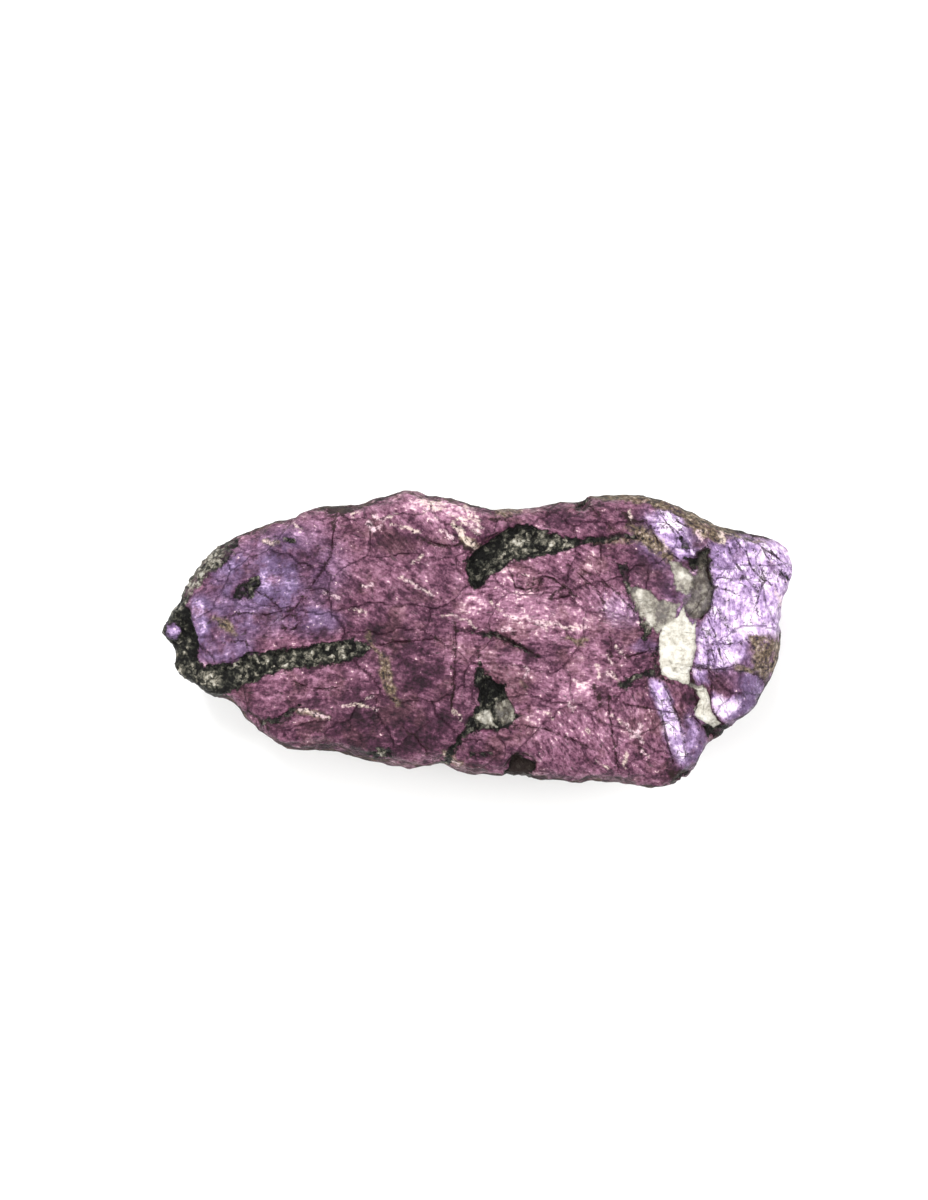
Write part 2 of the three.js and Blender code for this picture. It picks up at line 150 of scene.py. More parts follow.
# Pale crystals that stand in the dark rock, as ovals, and painted shade in its pockets and hollows,
# where it is darker still, whose strength is below nothing
CRYSTALS_AND_SHADE = [
    (-33.2, -5.0, 0.8, 1.2, 0, 1.0), (-32.2, -5.5, 0.5, 0.6, 0, 0.7),
    (-27.2, -2.4, 0.5, 0.6, 0, 0.9), (-26.3, -2.8, 0.5, 0.6, 0, 0.8),
    (-28.5, -3.7, 0.5, 0.6, 0, 0.8), (-27.7, -4.1, 0.4, 0.4, 0, 0.7),
    (-24.0, -3.3, 0.6, 0.15, 8, 1.0), (-22.5, -2.1, 0.5, 0.5, 0, 0.8),
    (-20.9, -2.0, 0.5, 0.4, 0, 0.9), (-21.4, -2.8, 0.4, 0.3, 0, 0.7),
    (-16.8, -1.8, 0.5, 0.8, 0, 0.9), (-18.5, -1.3, 0.3, 0.3, 0, 0.9),
    (-13.4, -1.2, 0.6, 0.3, -30, 1.0), (-15.6, -1.9, 0.3, 0.3, 0, 0.8),
    (-37.2, -3.6, 0.4, 0.5, 0, 1.0), (-35.4, -3.4, 0.3, 0.4, 0, 0.9),
    (-36.4, -1.6, 0.25, 0.3, 0, 0.9), (-37.3, -2.1, 0.25, 0.3, 0, 0.9),
    (-30.1, -3.2, 0.5, 0.4, 0, 0.8), (-30.6, -4.4, 0.5, 0.5, 0, 0.5),
    (-29.2, -5.1, 0.4, 0.5, 0, 0.5), (7.8, 12.6, 0.6, 0.4, 0, 0.7), (8.9, 11.9, 0.8, 0.4, 0, 0.9),
    (10.4, 12.0, 0.7, 0.3, 0, 0.9), (6.0, 12.1, 0.8, 0.5, 0, 0.6), (4.7, 11.9, 0.5, 0.5, 0, 0.7),
    (6.8, 11.3, 0.6, 0.4, 0, 0.5), (11.5, 11.6, 0.4, 0.3, 0, 0.8), (0.9, -9.5, 0.4, 0.9, 0, 1.0),
    (1.9, -10.3, 0.3, 0.7, 20, 0.9), (9.4, 12.0, 2.2, 0.8, -12, 0.5),
    (4.4, -9.6, 0.4, 0.5, 0, 0.3), (-11.9, -14.2, 0.5, 0.3, 0, 0.9),
    (16.9, 12.3, 0.3, 0.2, 0, 0.9), (21.3, 1.4, 0.4, 0.3, 0, 0.9), (19.2, -5.1, 0.3, 0.3, 0, 0.7),
    (26.0, 11.4, 0.3, 0.3, 0, 0.7), (-28.2, 6.4, 0.3, 0.4, 0, 0.6),
    (1.6, 11.6, 2.4, 0.8, 42, -0.5), (5.0, 14.0, 3.0, 0.7, 4, -0.9),
    (0.0, 8.2, 1.2, 2.4, -10, -0.35), (1.8, -6.2, 1.7, 1.2, 0, -0.9),
    (-1.8, -12.4, 1.6, 0.9, 55, -0.2), (-35.7, 2.0, 0.9, 2.0, 0, -0.5),
    (-36.9, 4.4, 1.4, 0.8, -40, -0.6), (27.4, 10.1, 1.4, 1.1, 0, -0.8),
    (-34.8, -1.2, 0.8, 1.6, 0, -0.5), (29.8, -11.6, 1.8, 0.8, 0, -0.5),
    (1.0, -9.9, 0.9, 1.1, 0, 1.0), (25.6, 7.5, 1.5, 1.0, -35, 0.7), (20.2, 5.8, 0.5, 0.4, 0, 0.8),
    (21.4, 2.3, 0.6, 0.5, 0, 0.9), (-34.4, 8.0, 5.0, 1.8, 49, 1.0),
    (5.2, -16.2, 2.4, 2.4, 0, -0.3), (3.4, 10.8, 4.4, 1.8, 30, 0.22),
]
# The round knob of violet phosphate on the ledge, at the left tip: x, y and radius
KNOB = (-37.75, 0.95, 1.15)
# White quartz, at the right: the main body with its two points, and the strip below it
QUARTZ = [
    [(25.5, 4.3), (25.1, 3.2), (24.4, 2.4), (23.0, 1.8), (22.6, 0.6), (22.5, -1.0), (22.5, -2.6),
     (22.9, -4.2), (23.7, -4.9), (25.0, -5.4), (26.2, -5.7), (26.4, -4.2), (26.8, -2.6),
     (27.1, -1.0), (27.0, 0.5), (27.1, 2.2), (26.6, 1.7), (25.9, 2.7)],
    [(27.0, -6.2), (28.3, -6.2), (28.8, -7.3), (29.0, -8.6), (29.6, -9.8), (30.3, -10.5),
     (29.6, -11.1), (28.3, -10.4), (27.1, -9.5), (26.8, -8.7), (27.6, -7.6)],
]
# Clouded grey quartz: above the white quartz and left of it, between its two parts, and in the
# near pocket
CLOUDED = [
    [(23.9, 9.4), (25.1, 9.5), (26.4, 8.1), (27.0, 6.9), (26.0, 5.5), (24.9, 5.9), (24.3, 7.3)],
    [(18.8, 6.3), (19.9, 6.6), (21.1, 5.9), (22.3, 4.9), (24.2, 4.7), (25.0, 4.3), (24.4, 2.4),
     (22.9, 1.5), (22.3, 0.7), (21.5, 1.5), (20.6, 2.7), (19.8, 4.0), (19.2, 5.0)],
    [(26.1, -5.4), (27.0, -5.8), (28.2, -6.2), (27.6, -7.4), (26.9, -6.6)],
    [(2.4, -8.1), (3.6, -7.7), (4.7, -8.4), (5.0, -9.4), (4.4, -10.2), (3.4, -10.6),
     (2.5, -10.0)],
    [(0.3, -8.9), (1.2, -8.7), (1.9, -9.6), (2.2, -10.8), (1.2, -11.0), (0.4, -10.4)],
]
# Smoky quartz that darkens to its edges, right of the clouded quartz
SMOKY = [
    [(27.0, 8.5), (28.3, 10.4), (28.8, 8.4), (29.1, 6.3), (29.3, 4.8), (28.6, 3.5), (27.3, 2.6),
     (26.2, 2.6), (25.5, 4.0), (26.0, 5.3)],
]
# The brown grainy patch at the right edge
BROWN_PATCH = [(33.7, 0.6), (35.4, 0.6), (38.4, -0.4), (38.0, -3.1), (35.6, -5.0), (34.0, -3.6),
               (33.9, -1.6)]
# Olive and tan alteration, and the brown crust on the far rim, as chains
OLIVE = [
    [(-13.5, 0.8, 0.5), (-13.0, -0.7, 0.5), (-11.9, -1.8, 0.6), (-11.6, -2.8, 1.2),
     (-11.4, -4.2, 1.6), (-11.1, -5.8, 1.3), (-9.8, -7.9, 0.6)],
    [(-32.4, 2.6, 0.5), (-30.9, 1.6, 1.3), (-29.8, 0.5, 0.4)],
    [(11.2, 0.0, 0.5), (12.8, -0.5, 0.9), (13.6, 0.0, 0.4)],
    [(18.6, 14.2, 0.8), (20.6, 12.9, 1.7), (22.3, 11.3, 1.6), (23.8, 10.0, 1.2)],
    [(13.9, 12.0, 0.5), (17.0, 12.1, 0.7), (20.4, 12.2, 0.6)],
    [(-4.1, -14.2, 0.6), (-3.2, -14.8, 1.6), (-2.2, -15.4, 1.0)],
    [(-22.1, -9.2, 0.4), (-19.9, -9.4, 0.7), (-18.2, -9.6, 0.4)],
    [(26.6, 14.7, 1.4), (28.4, 13.2, 1.9), (30.2, 12.4, 1.4)],
    [(14.6, 17.6, 0.4), (17.5, 17.5, 0.8), (21.0, 17.0, 1.1), (24.1, 16.5, 1.0),
     (27.0, 15.4, 1.2),
     (29.4, 14.1, 1.2), (31.8, 12.9, 0.8), (36.0, 12.0, 0.4)],
    [(-24.6, 12.0, 0.4), (-26.4, 12.1, 0.6)],
    [(-1.9, 12.6, 0.7), (-0.6, 11.9, 1.2), (0.4, 11.2, 0.5)],
    [(1.5, 16.2, 0.4), (3.4, 15.6, 0.7), (5.4, 15.8, 0.4)],
    [(5.4, -5.4, 0.3), (5.9, -6.0, 0.4)],
    [(32.3, -3.4, 0.7), (34.0, -3.9, 0.9)],
]
# Brown-black stain, as chains
STAINS = [
    [(15.0, 18.0, 0.8), (20.0, 17.9, 0.8), (25.0, 17.0, 0.9), (29.0, 15.0, 1.0),
     (33.0, 13.5, 0.8),
     (38.0, 12.1, 0.6)],
    [(-18.8, 16.3, 1.2), (-16.6, 16.0, 1.4), (-15.4, 15.9, 0.5)],
    [(-17.8, 15.0, 1.0), (-17.5, 13.2, 0.6)],
    [(-7.2, 12.4, 0.4), (-5.2, 11.9, 0.5), (-3.5, 11.6, 0.7), (-1.9, 11.9, 0.9),
     (-0.6, 11.0, 1.2)],
    [(-28.4, -9.0, 0.8), (-27.2, -10.4, 0.9), (-26.0, -11.0, 0.5)],
    [(-2.9, 0.4, 0.3), (-3.0, -2.4, 0.4), (-3.0, -5.2, 0.6), (-3.3, -8.6, 0.7)],
    [(9.1, 5.3, 0.6), (10.7, 6.3, 0.9), (12.0, 5.6, 0.5)],
    [(4.9, 6.4, 0.4), (6.4, 6.1, 0.5), (8.3, 7.8, 0.4), (9.7, 7.4, 0.5)],
    [(14.5, -6.2, 1.0), (15.3, -7.3, 0.8), (15.0, -8.4, 0.3)],
    [(27.6, 10.4, 0.8), (28.4, 11.0, 0.7)],
    [(24.4, -16.9, 1.4), (26.0, -16.4, 1.0)],
    [(35.4, 11.2, 0.4), (36.9, 10.5, 0.6), (38.2, 9.9, 0.4)],
    [(22.6, 16.3, 0.5), (26.4, 15.3, 0.8)],
    [(33.0, -3.2, 0.6), (34.9, -4.6, 0.9), (36.2, -5.6, 0.5)],
    [(17.1, 16.0, 0.6), (19.1, 14.8, 0.7), (20.4, 14.3, 0.5)],
    [(1.6, 14.9, 0.6), (3.2, 14.9, 0.7), (5.4, 15.2, 0.3)],
]
# Cream and pinkish-white flecks, as chains, partly painted glints where the silk catches the light
FLECKS_AND_GLINTS = [
    [(-15.6, 15.4, 0.3), (-14.6, 15.7, 0.3)],
    [(-13.5, 14.5, 0.4), (-12.5, 13.6, 0.6), (-11.8, 13.9, 0.3)],
    [(-10.6, 14.2, 0.3), (-9.3, 14.0, 0.3), (-6.9, 13.2, 0.4)],
    [(-6.6, 17.0, 0.6), (-5.2, 16.5, 0.9), (-4.0, 16.4, 0.5)],
    [(-4.6, 13.4, 0.3), (-3.0, 12.4, 0.4)],
    [(-3.0, 14.2, 0.6), (-1.9, 13.1, 0.9), (-0.4, 11.3, 0.7)],
    [(-1.9, 14.4, 0.4), (0.2, 13.2, 0.6)],
    [(-1.5, 16.1, 0.5), (-0.3, 15.4, 0.7), (0.7, 13.4, 0.4)],
    [(-9.4, 7.7, 0.3), (-8.6, 7.2, 0.4), (-7.7, 6.8, 0.3)],
    [(-14.0, 6.7, 0.3), (-13.1, 6.5, 0.3)],
    [(-7.5, 6.3, 0.25), (-5.6, 5.5, 0.3)],
    [(-18.8, 5.8, 0.25), (-17.2, 5.3, 0.25)],
    [(-15.6, 3.8, 0.2), (-13.8, 2.9, 0.25)],
    [(-4.0, 2.8, 0.2), (-3.0, 2.9, 0.3), (-1.4, 2.5, 0.3), (-0.1, 1.3, 0.3)],
    [(-13.5, -7.3, 0.3), (-12.9, -7.2, 0.3)],
    [(-21.6, -9.0, 0.3), (-20.4, -9.3, 0.4), (-18.3, -9.6, 0.3)],
    [(-3.0, -8.9, 0.4), (-2.0, -10.0, 0.5)],
    [(-4.0, -14.3, 0.5), (-2.4, -15.4, 0.6)],
    [(-22.7, 14.0, 0.3), (-21.7, 13.4, 0.3)],
    [(-26.4, 12.1, 0.2), (-25.0, 12.0, 0.3)],
    [(8.0, 2.0, 0.3), (8.2, 1.5, 0.5), (8.5, 0.9, 0.2)],
    [(7.0, 2.0, 0.2), (9.1, 1.5, 0.25), (10.4, 1.6, 0.4), (12.8, 0.7, 0.3)],
    [(1.5, 4.8, 0.4), (2.5, 3.7, 0.3)],
    [(14.8, -3.2, 0.3), (15.3, -5.0, 0.4)],
    [(16.1, -4.0, 0.4), (17.0, -4.7, 0.4), (17.8, -5.3, 0.2)],
    [(13.5, -10.9, 0.4), (13.8, -11.5, 0.4)],
    [(19.0, -12.3, 0.2), (19.9, -11.5, 0.6), (20.2, -10.6, 0.3)],
    [(18.5, -14.0, 0.3), (18.4, -15.9, 0.4)],
    [(20.1, -13.6, 0.4), (21.0, -14.5, 0.3)],
    [(6.0, -3.3, 0.3), (6.0, -4.5, 0.35)],
    [(14.9, -15.0, 0.25), (16.2, -15.8, 0.35)],
    [(11.7, -5.0, 0.3), (13.3, -5.8, 0.3)],
    [(11.5, -7.9, 0.4), (12.0, -8.8, 0.4)],
    [(27.6, 13.3, 0.7), (27.8, 12.4, 0.8)],
    [(30.2, 13.0, 0.5), (30.5, 12.0, 0.6)],
    [(18.8, 15.7, 0.5), (19.1, 14.9, 0.4)],
    [(36.8, 6.4, 0.3), (37.9, 4.2, 0.6)],
    [(16.0, -2.0, 0.2), (16.7, -3.4, 0.3)],
    [(17.2, -1.2, 0.3), (18.2, -1.9, 0.3)],
    [(2.9, 3.2, 0.2), (4.4, 2.6, 0.3), (6.6, 2.2, 0.2)],
    [(-8.2, 9.4, 0.2), (-6.6, 10.2, 0.2)],
    [(3.0, 1.2, 0.2), (4.6, 1.0, 0.2)],
    [(8.4, -9.2, 0.2), (9.6, -10.0, 0.3)],
    [(24.8, 8.3, 0.9), (25.9, 7.0, 1.2)],
    [(22.9, 12.2, 0.3), (23.3, 11.0, 0.3)],
    [(-13.0, 15.2, 0.4), (-11.6, 14.6, 0.3), (-10.2, 15.3, 0.3)],
    [(-3.4, 15.4, 0.5), (-1.6, 15.0, 0.6), (0.4, 14.6, 0.4)],
    [(7.4, 2.2, 0.3), (9.2, 1.9, 0.4), (11.4, 1.4, 0.4), (13.4, 1.6, 0.3)],
    [(-17.0, -8.4, 0.3), (-14.4, -8.0, 0.4), (-12.2, -8.6, 0.3)],
    [(16.8, -9.6, 0.3), (18.6, -10.8, 0.4), (20.4, -12.8, 0.4)],
]
# The cracks that stand out, as chains of x and y
CRACKS = [
    [(-17.4, 14.6), (-17.9, 11.9), (-18.1, 10.2), (-19.0, 8.8), (-19.9, 7.6), (-20.4, 6.6),
     (-21.2, 5.6), (-22.0, 4.3), (-22.8, 3.6), (-24.2, 3.4)],
    [(-30.4, 3.0), (-28.4, 3.2), (-26.0, 2.9), (-24.2, 3.4)],
    [(-27.6, 6.1), (-26.1, 5.2), (-25.0, 4.2), (-24.2, 3.4)],
    [(-21.1, 5.8), (-19.6, 6.4), (-18.4, 6.0)],
    [(-30.2, -0.1), (-28.9, -0.2), (-28.4, -0.8), (-27.6, -1.3)],
    [(-24.2, 2.0), (-23.9, 2.8), (-23.2, 3.1), (-22.4, 2.7), (-22.2, 2.0), (-22.6, 1.3),
     (-23.3, 1.1),
     (-24.0, 1.4), (-24.2, 2.0)],
    [(-6.5, 12.4), (-4.6, 11.8), (-3.1, 11.5), (-1.9, 11.9)],
    [(-3.1, 2.0), (-2.6, 1.4), (-2.5, -1.4), (-2.7, -3.7), (-2.9, -5.8), (-3.2, -8.6)],
    [(-12.4, -0.6), (-9.6, -0.3), (-6.8, -0.2), (-4.0, 0.1)],
    [(3.9, 8.9), (4.3, 7.8), (4.8, 6.4), (6.2, 6.1), (7.4, 6.3), (8.3, 7.8)],
    [(5.6, 8.0), (6.9, 7.4), (8.3, 7.8), (9.7, 7.4), (10.7, 6.3), (11.8, 5.5)],
    [(8.8, 5.0), (10.0, 5.1), (11.8, 5.5), (13.0, 5.0)],
    [(11.4, 9.2), (12.3, 8.4), (13.9, 6.9), (15.4, 5.3), (15.9, 2.6)],
    [(13.1, 8.4), (14.9, 7.7), (17.1, 5.8), (18.9, 4.0), (20.1, 2.6)],
    [(15.3, 11.6), (15.5, 9.7), (15.2, 7.6)],
    [(13.9, 16.4), (15.2, 15.0), (16.5, 13.7), (17.7, 12.7)],
    [(16.4, 0.9), (16.7, -0.8), (16.4, -2.7), (16.2, -3.7)],
    [(1.0, 0.8), (2.9, 0.3), (4.1, -0.2), (5.4, -0.8), (6.6, -1.4), (7.6, -2.1)],
    [(11.0, 1.0), (11.5, 0.2), (12.4, -1.1)],
    [(4.4, -10.7), (8.1, -11.0), (11.0, -12.1), (13.8, -13.4)],
    [(16.2, -6.6), (16.5, -10.5), (17.0, -13.9), (17.6, -16.6)],
    [(15.9, -2.1), (18.4, -2.4), (20.4, -1.7), (22.0, -1.4)],
    [(20.8, 14.4), (22.3, 12.1), (23.9, 10.5), (25.4, 9.6)],
    [(22.7, 15.8), (23.6, 14.2), (24.6, 13.6), (25.6, 12.3)],
    [(24.0, 15.8), (25.1, 14.6), (26.2, 13.9)],
    [(21.3, 13.2), (23.6, 14.2)],
    [(28.6, 11.6), (28.5, 8.4), (29.1, 6.2), (29.3, 4.7), (28.5, 3.3), (27.3, 2.3)],
    [(28.8, 7.5), (30.4, 7.7), (32.2, 7.3), (34.0, 7.5)],
    [(29.9, 3.9), (30.4, 2.2), (31.2, 0.9)],
    [(28.6, 2.6), (29.4, 0.6), (29.9, -1.4), (30.6, -3.4)],
    [(27.8, 1.2), (28.7, -0.6), (29.4, -2.6)],
    [(31.0, 11.6), (32.0, 9.4), (33.4, 7.5), (34.9, 5.4)],
    [(32.0, 12.4), (33.4, 10.6), (34.0, 8.8), (35.6, 7.0)],
    [(29.2, 6.4), (30.6, 6.2), (32.1, 5.4)],
    [(35.1, 11.6), (36.4, 9.6), (37.5, 8.4), (38.2, 7.0)],
    [(34.4, 12.3), (35.6, 11.0), (36.8, 10.4), (37.8, 9.7)],
    [(34.3, 3.6), (34.9, 5.4), (35.6, 7.0), (35.1, 8.8)],
    [(30.2, 3.8), (30.6, 2.6), (31.3, 1.6)],
    [(28.3, 0.4), (28.7, -2.6), (29.0, -5.2), (29.0, -7.9), (29.7, -9.9), (30.6, -10.7)],
    [(26.4, -3.9), (26.7, -6.0), (27.3, -7.9), (26.8, -9.5), (28.0, -10.8), (29.1, -11.4)],
    [(26.6, -3.4), (28.8, -3.7), (30.6, -3.6), (32.3, -3.2)],
    [(29.2, -0.4), (31.0, -0.6), (33.4, -0.2)],
    [(22.9, -5.2), (24.3, -8.3), (25.0, -9.8), (25.6, -12.7), (26.0, -15.8)],
    [(22.7, -9.0), (23.2, -10.8), (23.6, -13.0), (24.4, -15.6)],
    [(17.0, -7.4), (19.4, -8.2), (21.8, -8.7), (25.2, -9.2)],
    [(-9.0, -11.0), (-7.6, -12.2), (-6.4, -13.6), (-5.9, -14.6)],
    [(-22.6, -5.2), (-21.0, -6.0), (-19.0, -6.2), (-17.2, -5.9)],
]
# Soft ovals of blue-violet, towards the ends
VIOLET = [
    (-34.4, 2.2, 1.6, 3.0, 0, 1.0), (-25.2, 7.3, 3.0, 2.6, 0, 1.0),
    (-28.5, 3.4, 5.6, 3.0, 0, 0.8), (-31.0, 8.0, 2.6, 1.8, 40, 0.8),
    (-31.2, -1.4, 3.8, 1.8, 5, 0.8), (-21.5, 8.4, 5.0, 5.4, 0, 0.45),
    (-20.0, 2.2, 3.4, 1.6, 0, 0.7), (-37.7, 1.0, 1.6, 1.6, 0, 1.0),
    (-27.0, 11.0, 4.6, 1.8, 20, 0.45), (33.6, -8.0, 2.4, 5.0, -24, 1.0),
    (31.5, 4.0, 7.0, 8.0, 0, 0.9), (26.8, -13.0, 1.8, 3.6, 0, 0.9),
    (22.9, -7.6, 1.0, 2.8, 18, 1.0), (24.5, -12.6, 1.0, 3.8, 14, 1.0),
    (23.6, 12.6, 4.0, 3.6, -30, 0.9), (17.6, 3.6, 3.2, 1.8, -25, 0.4),
    (21.0, -0.9, 1.6, 0.8, 0, 0.6), (21.8, 7.8, 3.6, 1.9, -52, 0.1),
    (30.8, -8.2, 1.6, 1.6, 0, 0.6),
]
# Patches of bright lavender, partly painted sheen where the silk catches the light
LAVENDER = [
    [(21.1, 14.8), (22.8, 15.8), (24.4, 15.9), (26.0, 15.2), (26.2, 13.9), (25.4, 12.7),
     (26.3, 11.5), (27.5, 10.6), (26.7, 10.1), (25.0, 9.9), (23.9, 10.6), (22.8, 11.9),
     (21.6, 13.2)],
    [(28.8, 11.6), (31.7, 12.7), (33.3, 13.0), (35.4, 12.6), (38.0, 11.9), (39.5, 10.6),
     (40.0, 8.0),
     (38.9, 4.2), (38.4, 0.7), (33.6, 0.6), (33.3, -2.0), (30.9, -3.6), (27.2, -3.3), (27.4, 0.0),
     (27.6, 1.8), (29.4, 3.9), (29.4, 6.3), (28.9, 8.4)],
    [(29.2, -6.7), (30.5, -7.4), (32.2, -7.7), (32.4, -9.0), (30.9, -9.9), (29.8, -9.3)],
    [(27.0, -3.6), (28.5, -3.9), (28.5, -5.4), (27.2, -5.6)],
    [(21.2, -5.0), (22.6, -5.0), (24.0, -8.0), (25.0, -10.5), (25.6, -13.0), (26.0, -15.6),
     (25.0, -15.4), (23.6, -11.6), (22.4, -8.6)],
    [(26.2, -9.8), (27.4, -11.2), (27.2, -13.6), (26.2, -14.4)],
]
# Soft ovals where the purple is lighter, or darker where the strength is below nothing. The lighter
# ones along the far edge, where the face turns towards the light, and in the knob's middle are
# painted highlight
TONES = [
    (-5.4, 16.2, 5.0, 1.4, -8, 0.32), (-9.8, 12.4, 3.4, 1.2, 0, -0.12),
    (-2.4, 14.2, 2.6, 1.8, -30, 0.1), (-11.0, 6.0, 8.0, 5.0, -20, -0.02),
    (8.0, 3.6, 8.4, 3.0, 0, 0.14), (9.0, -1.0, 12.0, 12.0, 0, 0.06),
    (3.2, 7.3, 2.0, 1.5, 0, 0.16), (-0.8, 4.8, 1.8, 1.8, 0, 0.2), (-1.2, -0.6, 2.0, 1.4, 0, 0.1),
    (12.6, 9.6, 3.6, 1.8, -15, 0.12), (12.2, -6.6, 2.6, 1.8, 20, 0.12),
    (13.0, -9.0, 6.0, 5.0, 0, 0.08), (15.2, -7.2, 1.1, 1.3, 0, -0.22),
    (19.5, -13.0, 5.0, 3.6, -15, 0.06), (-20.0, -7.6, 9.0, 2.8, 4, -0.06),
    (-13.0, -11.4, 6.5, 3.2, -4, -0.16), (-6.0, -9.0, 3.4, 5.4, 0, -0.12),
    (-8.0, -3.0, 4.0, 3.0, 0, -0.1), (-21.6, -6.0, 5.0, 1.6, 4, 0.06),
    (21.8, 7.8, 3.6, 2.0, -52, -0.14), (9.6, 14.9, 4.0, 1.2, -6, -0.14),
    (17.2, 15.4, 3.0, 1.6, -10, -0.04), (10.6, 6.2, 3.2, 1.3, -12, -0.1),
    (17.4, 4.2, 3.0, 1.3, -38, 0.16), (-22.5, 10.5, 3.6, 2.4, 0, -0.1),
    (-23.2, 2.1, 0.9, 0.9, 0, 0.16), (7.0, -1.9, 5.0, 1.1, -8, -0.08),
    (-25.2, 7.3, 2.2, 1.8, 0, 0.2), (-34.4, 2.6, 1.0, 2.0, 0, 0.26),
    (-28.6, 3.9, 1.6, 1.4, 0, 0.08), (32.0, -6.0, 3.0, 2.4, 0, -0.04),
    (33.5, -9.0, 1.8, 3.6, -24, 0.06), (0.6, -15.0, 2.4, 1.6, 0, -0.12),
    (18.0, 0.4, 1.8, 1.4, 0, -0.08), (30.2, 10.4, 1.2, 1.8, 0, -0.12),
    (33.0, 5.0, 6.0, 9.0, 0, 0.1), (23.4, 14.4, 2.4, 1.6, -15, 0.2),
    (24.0, -10.0, 1.4, 6.0, 16, 0.12), (-37.6, 1.1, 0.6, 0.5, 0, 0.26),
    (30.8, -8.3, 1.7, 1.6, 0, 0.34), (30.4, -5.3, 1.6, 1.2, 0, -0.1),
    (-17.4, 0.8, 3.6, 1.0, 6, -0.12), (-11.6, 0.9, 3.0, 1.0, 0, -0.1),
    (4.4, -12.2, 3.6, 1.6, 0, -0.04),
]
# Which way the silk of the purple runs, in degrees, around places on the stone
SILK = [
    (-30, 8, 15), (-30, 0, 0), (-20, 8, -12), (-10, 13, -32), (-12, 4, -22), (-20, -8, 8),
    (-6, -6, -10), (5, 4, -4), (12, 0, -8), (16, 6, -38), (8, -9, -18), (18, -12, -30),
    (24, -9, -66), (32, 6, -74), (32, -6, -60), (20, 13, -24), (10, 14, -12),
]


class StoneSizes(PropertyGroup):
    """How finely the stone is made, and how deep its fine relief goes"""

    grid: FloatProperty(
        name="Mesh grid", description="Spacing of the mesh on the sides and back, in millimetres",
        default=0.485, min=0.3, max=2.0,
    )
    smoothing: IntProperty(
        name="Smoothing", description="Rounds that take the solid's flat triangles off",
        default=10, min=0, max=40,
    )
    facet_rise: FloatProperty(
        name="Facet rise", description="How far grains of the face step, in millimetres",
        default=0.1, min=0.0, max=0.5,
    )
    fibre_rise: FloatProperty(
        name="Fibre rise", description="Height of the fibres on the face, in millimetres",
        default=0.07, min=0.0, max=0.3,
    )
    lump_rise: FloatProperty(
        name="Lump rise", description="Height of the low lumps on the face, in millimetres",
        default=0.2, min=0.0, max=0.6,
    )
    break_rise: FloatProperty(
        name="Break rise", description="Relief of the broken sides and back, in millimetres",
        default=0.45, min=0.0, max=1.5,
    )
    rock_rise: FloatProperty(
        name="Rock rise", description="Height of the grains in the dark rock, in millimetres",
        default=0.34, min=0.0, max=1.0,
    )
    quartz_rise: FloatProperty(
        name="Quartz rise", description="How far the quartz stands up, in millimetres",
        default=0.28, min=0.0, max=1.0,
    )
    crack_depth: FloatProperty(
        name="Crack depth", description="Depth of the cracks that stand out, in millimetres",
        default=0.1, min=0.0, max=1.0,
    )
    crack_width: FloatProperty(
        name="Crack width", description="Width of the dark line in a crack, in millimetres",
        default=0.2, min=0.05, max=1.0,
    )


def linear(hex_colour):
    """An sRGB hex colour as linear red, green, blue"""
    parts = [int(hex_colour[i : i + 2], 16) / 255 for i in (1, 3, 5)]
    return tuple(c / 12.92 if c <= 0.04045 else ((c + 0.055) / 1.055) ** 2.4 for c in parts)


def colour(name, description, default):
    """A colour setting whose default is an sRGB hex colour"""
    return FloatVectorProperty(
        name=name, description=description, subtype="COLOR", size=3, min=0.0, max=1.0,
        default=linear(default),
    )


class StoneColours(PropertyGroup):
    """The colours of what grows in the stone, and of the painted sheen on its silk"""

    plum: colour("Plum", "The darkest of the purple", "#1c0914")
    purple: colour("Purple", "Purple in the shade of its own fibres", "#432235")
    # Silk, pink, lavender and bright lavender are partly painted sheen where the fibres catch the
    # light; pink and cream also make the painted glints of the flecks
    mauve: colour("Mauve", "The body of the purple", "#6b3d54")
    silk: colour("Silk", "The silky purple where it catches light", "#925e7a")
    pink: colour("Pink", "The palest silk", "#deb8c3")
    brick: colour("Brick", "The purple where it is dull and brownish", "#6f4748")
    violet: colour("Violet", "Blue-violet, towards the ends", "#685179")
    lavender: colour("Lavender", "Violet where it catches light", "#b093bf")
    bright: colour("Bright lavender", "The brightest violet", "#f0dcf2")
    stain: colour("Stain", "Brown-black manganese stain", "#1f1310")
    black: colour("Black", "The darkest of the rock and the inside of cracks", "#080706")
    rock: colour("Rock", "The dark rock of the veins", "#31312a")
    rock_grain: colour("Rock grain", "Grey-green grains in the rock", "#56534a")
    crystal: colour("Crystal", "Pale crystals in the rock", "#8c8678")
    cream: colour("Cream", "Pale flecks", "#dccabb")
    tan: colour("Tan", "Olive and tan alteration", "#65563f")
    smoke: colour("Smoke", "Smoky quartz over dark rock", "#4b443d")
    clouded: colour("Clouded quartz", "Grey clouded quartz", "#7c776a")
    quartz: colour("Quartz", "White quartz", "#c2beb3")
    floor: colour("Floor", "The pale floor", "#f7f7f6")


def smoothstep(low, high, values):
    """0 at low, 1 at high, smooth between"""
    t = np.clip((values - low) / (high - low), 0.0, 1.0)
    return t * t * (3 - 2 * t)


def grain(points, size, seed=0):
    """Smooth noise from about -1 to 1 at each point, of a grain size in millimetres"""
    places = (points / size + 13.7 * seed).tolist()
    return np.array([noise.noise(place) for place in places])


def chain_gap(xy, chain):
    """How far each point is outside a chain of places with widths; negative inside it"""
    best = np.full(len(xy), FAR)
    for (ax, ay, aw), (bx, by, bw) in zip(chain, chain[1:]):
        a, d = np.array([ax, ay]), np.array([bx - ax, by - ay])
        t = np.clip((xy - a) @ d / (d @ d), 0.0, 1.0)
        away = np.linalg.norm(xy - a - t[:, None] * d, axis=1)
        best = np.minimum(best, away - (aw + (bw - aw) * t) / 2)
    return best


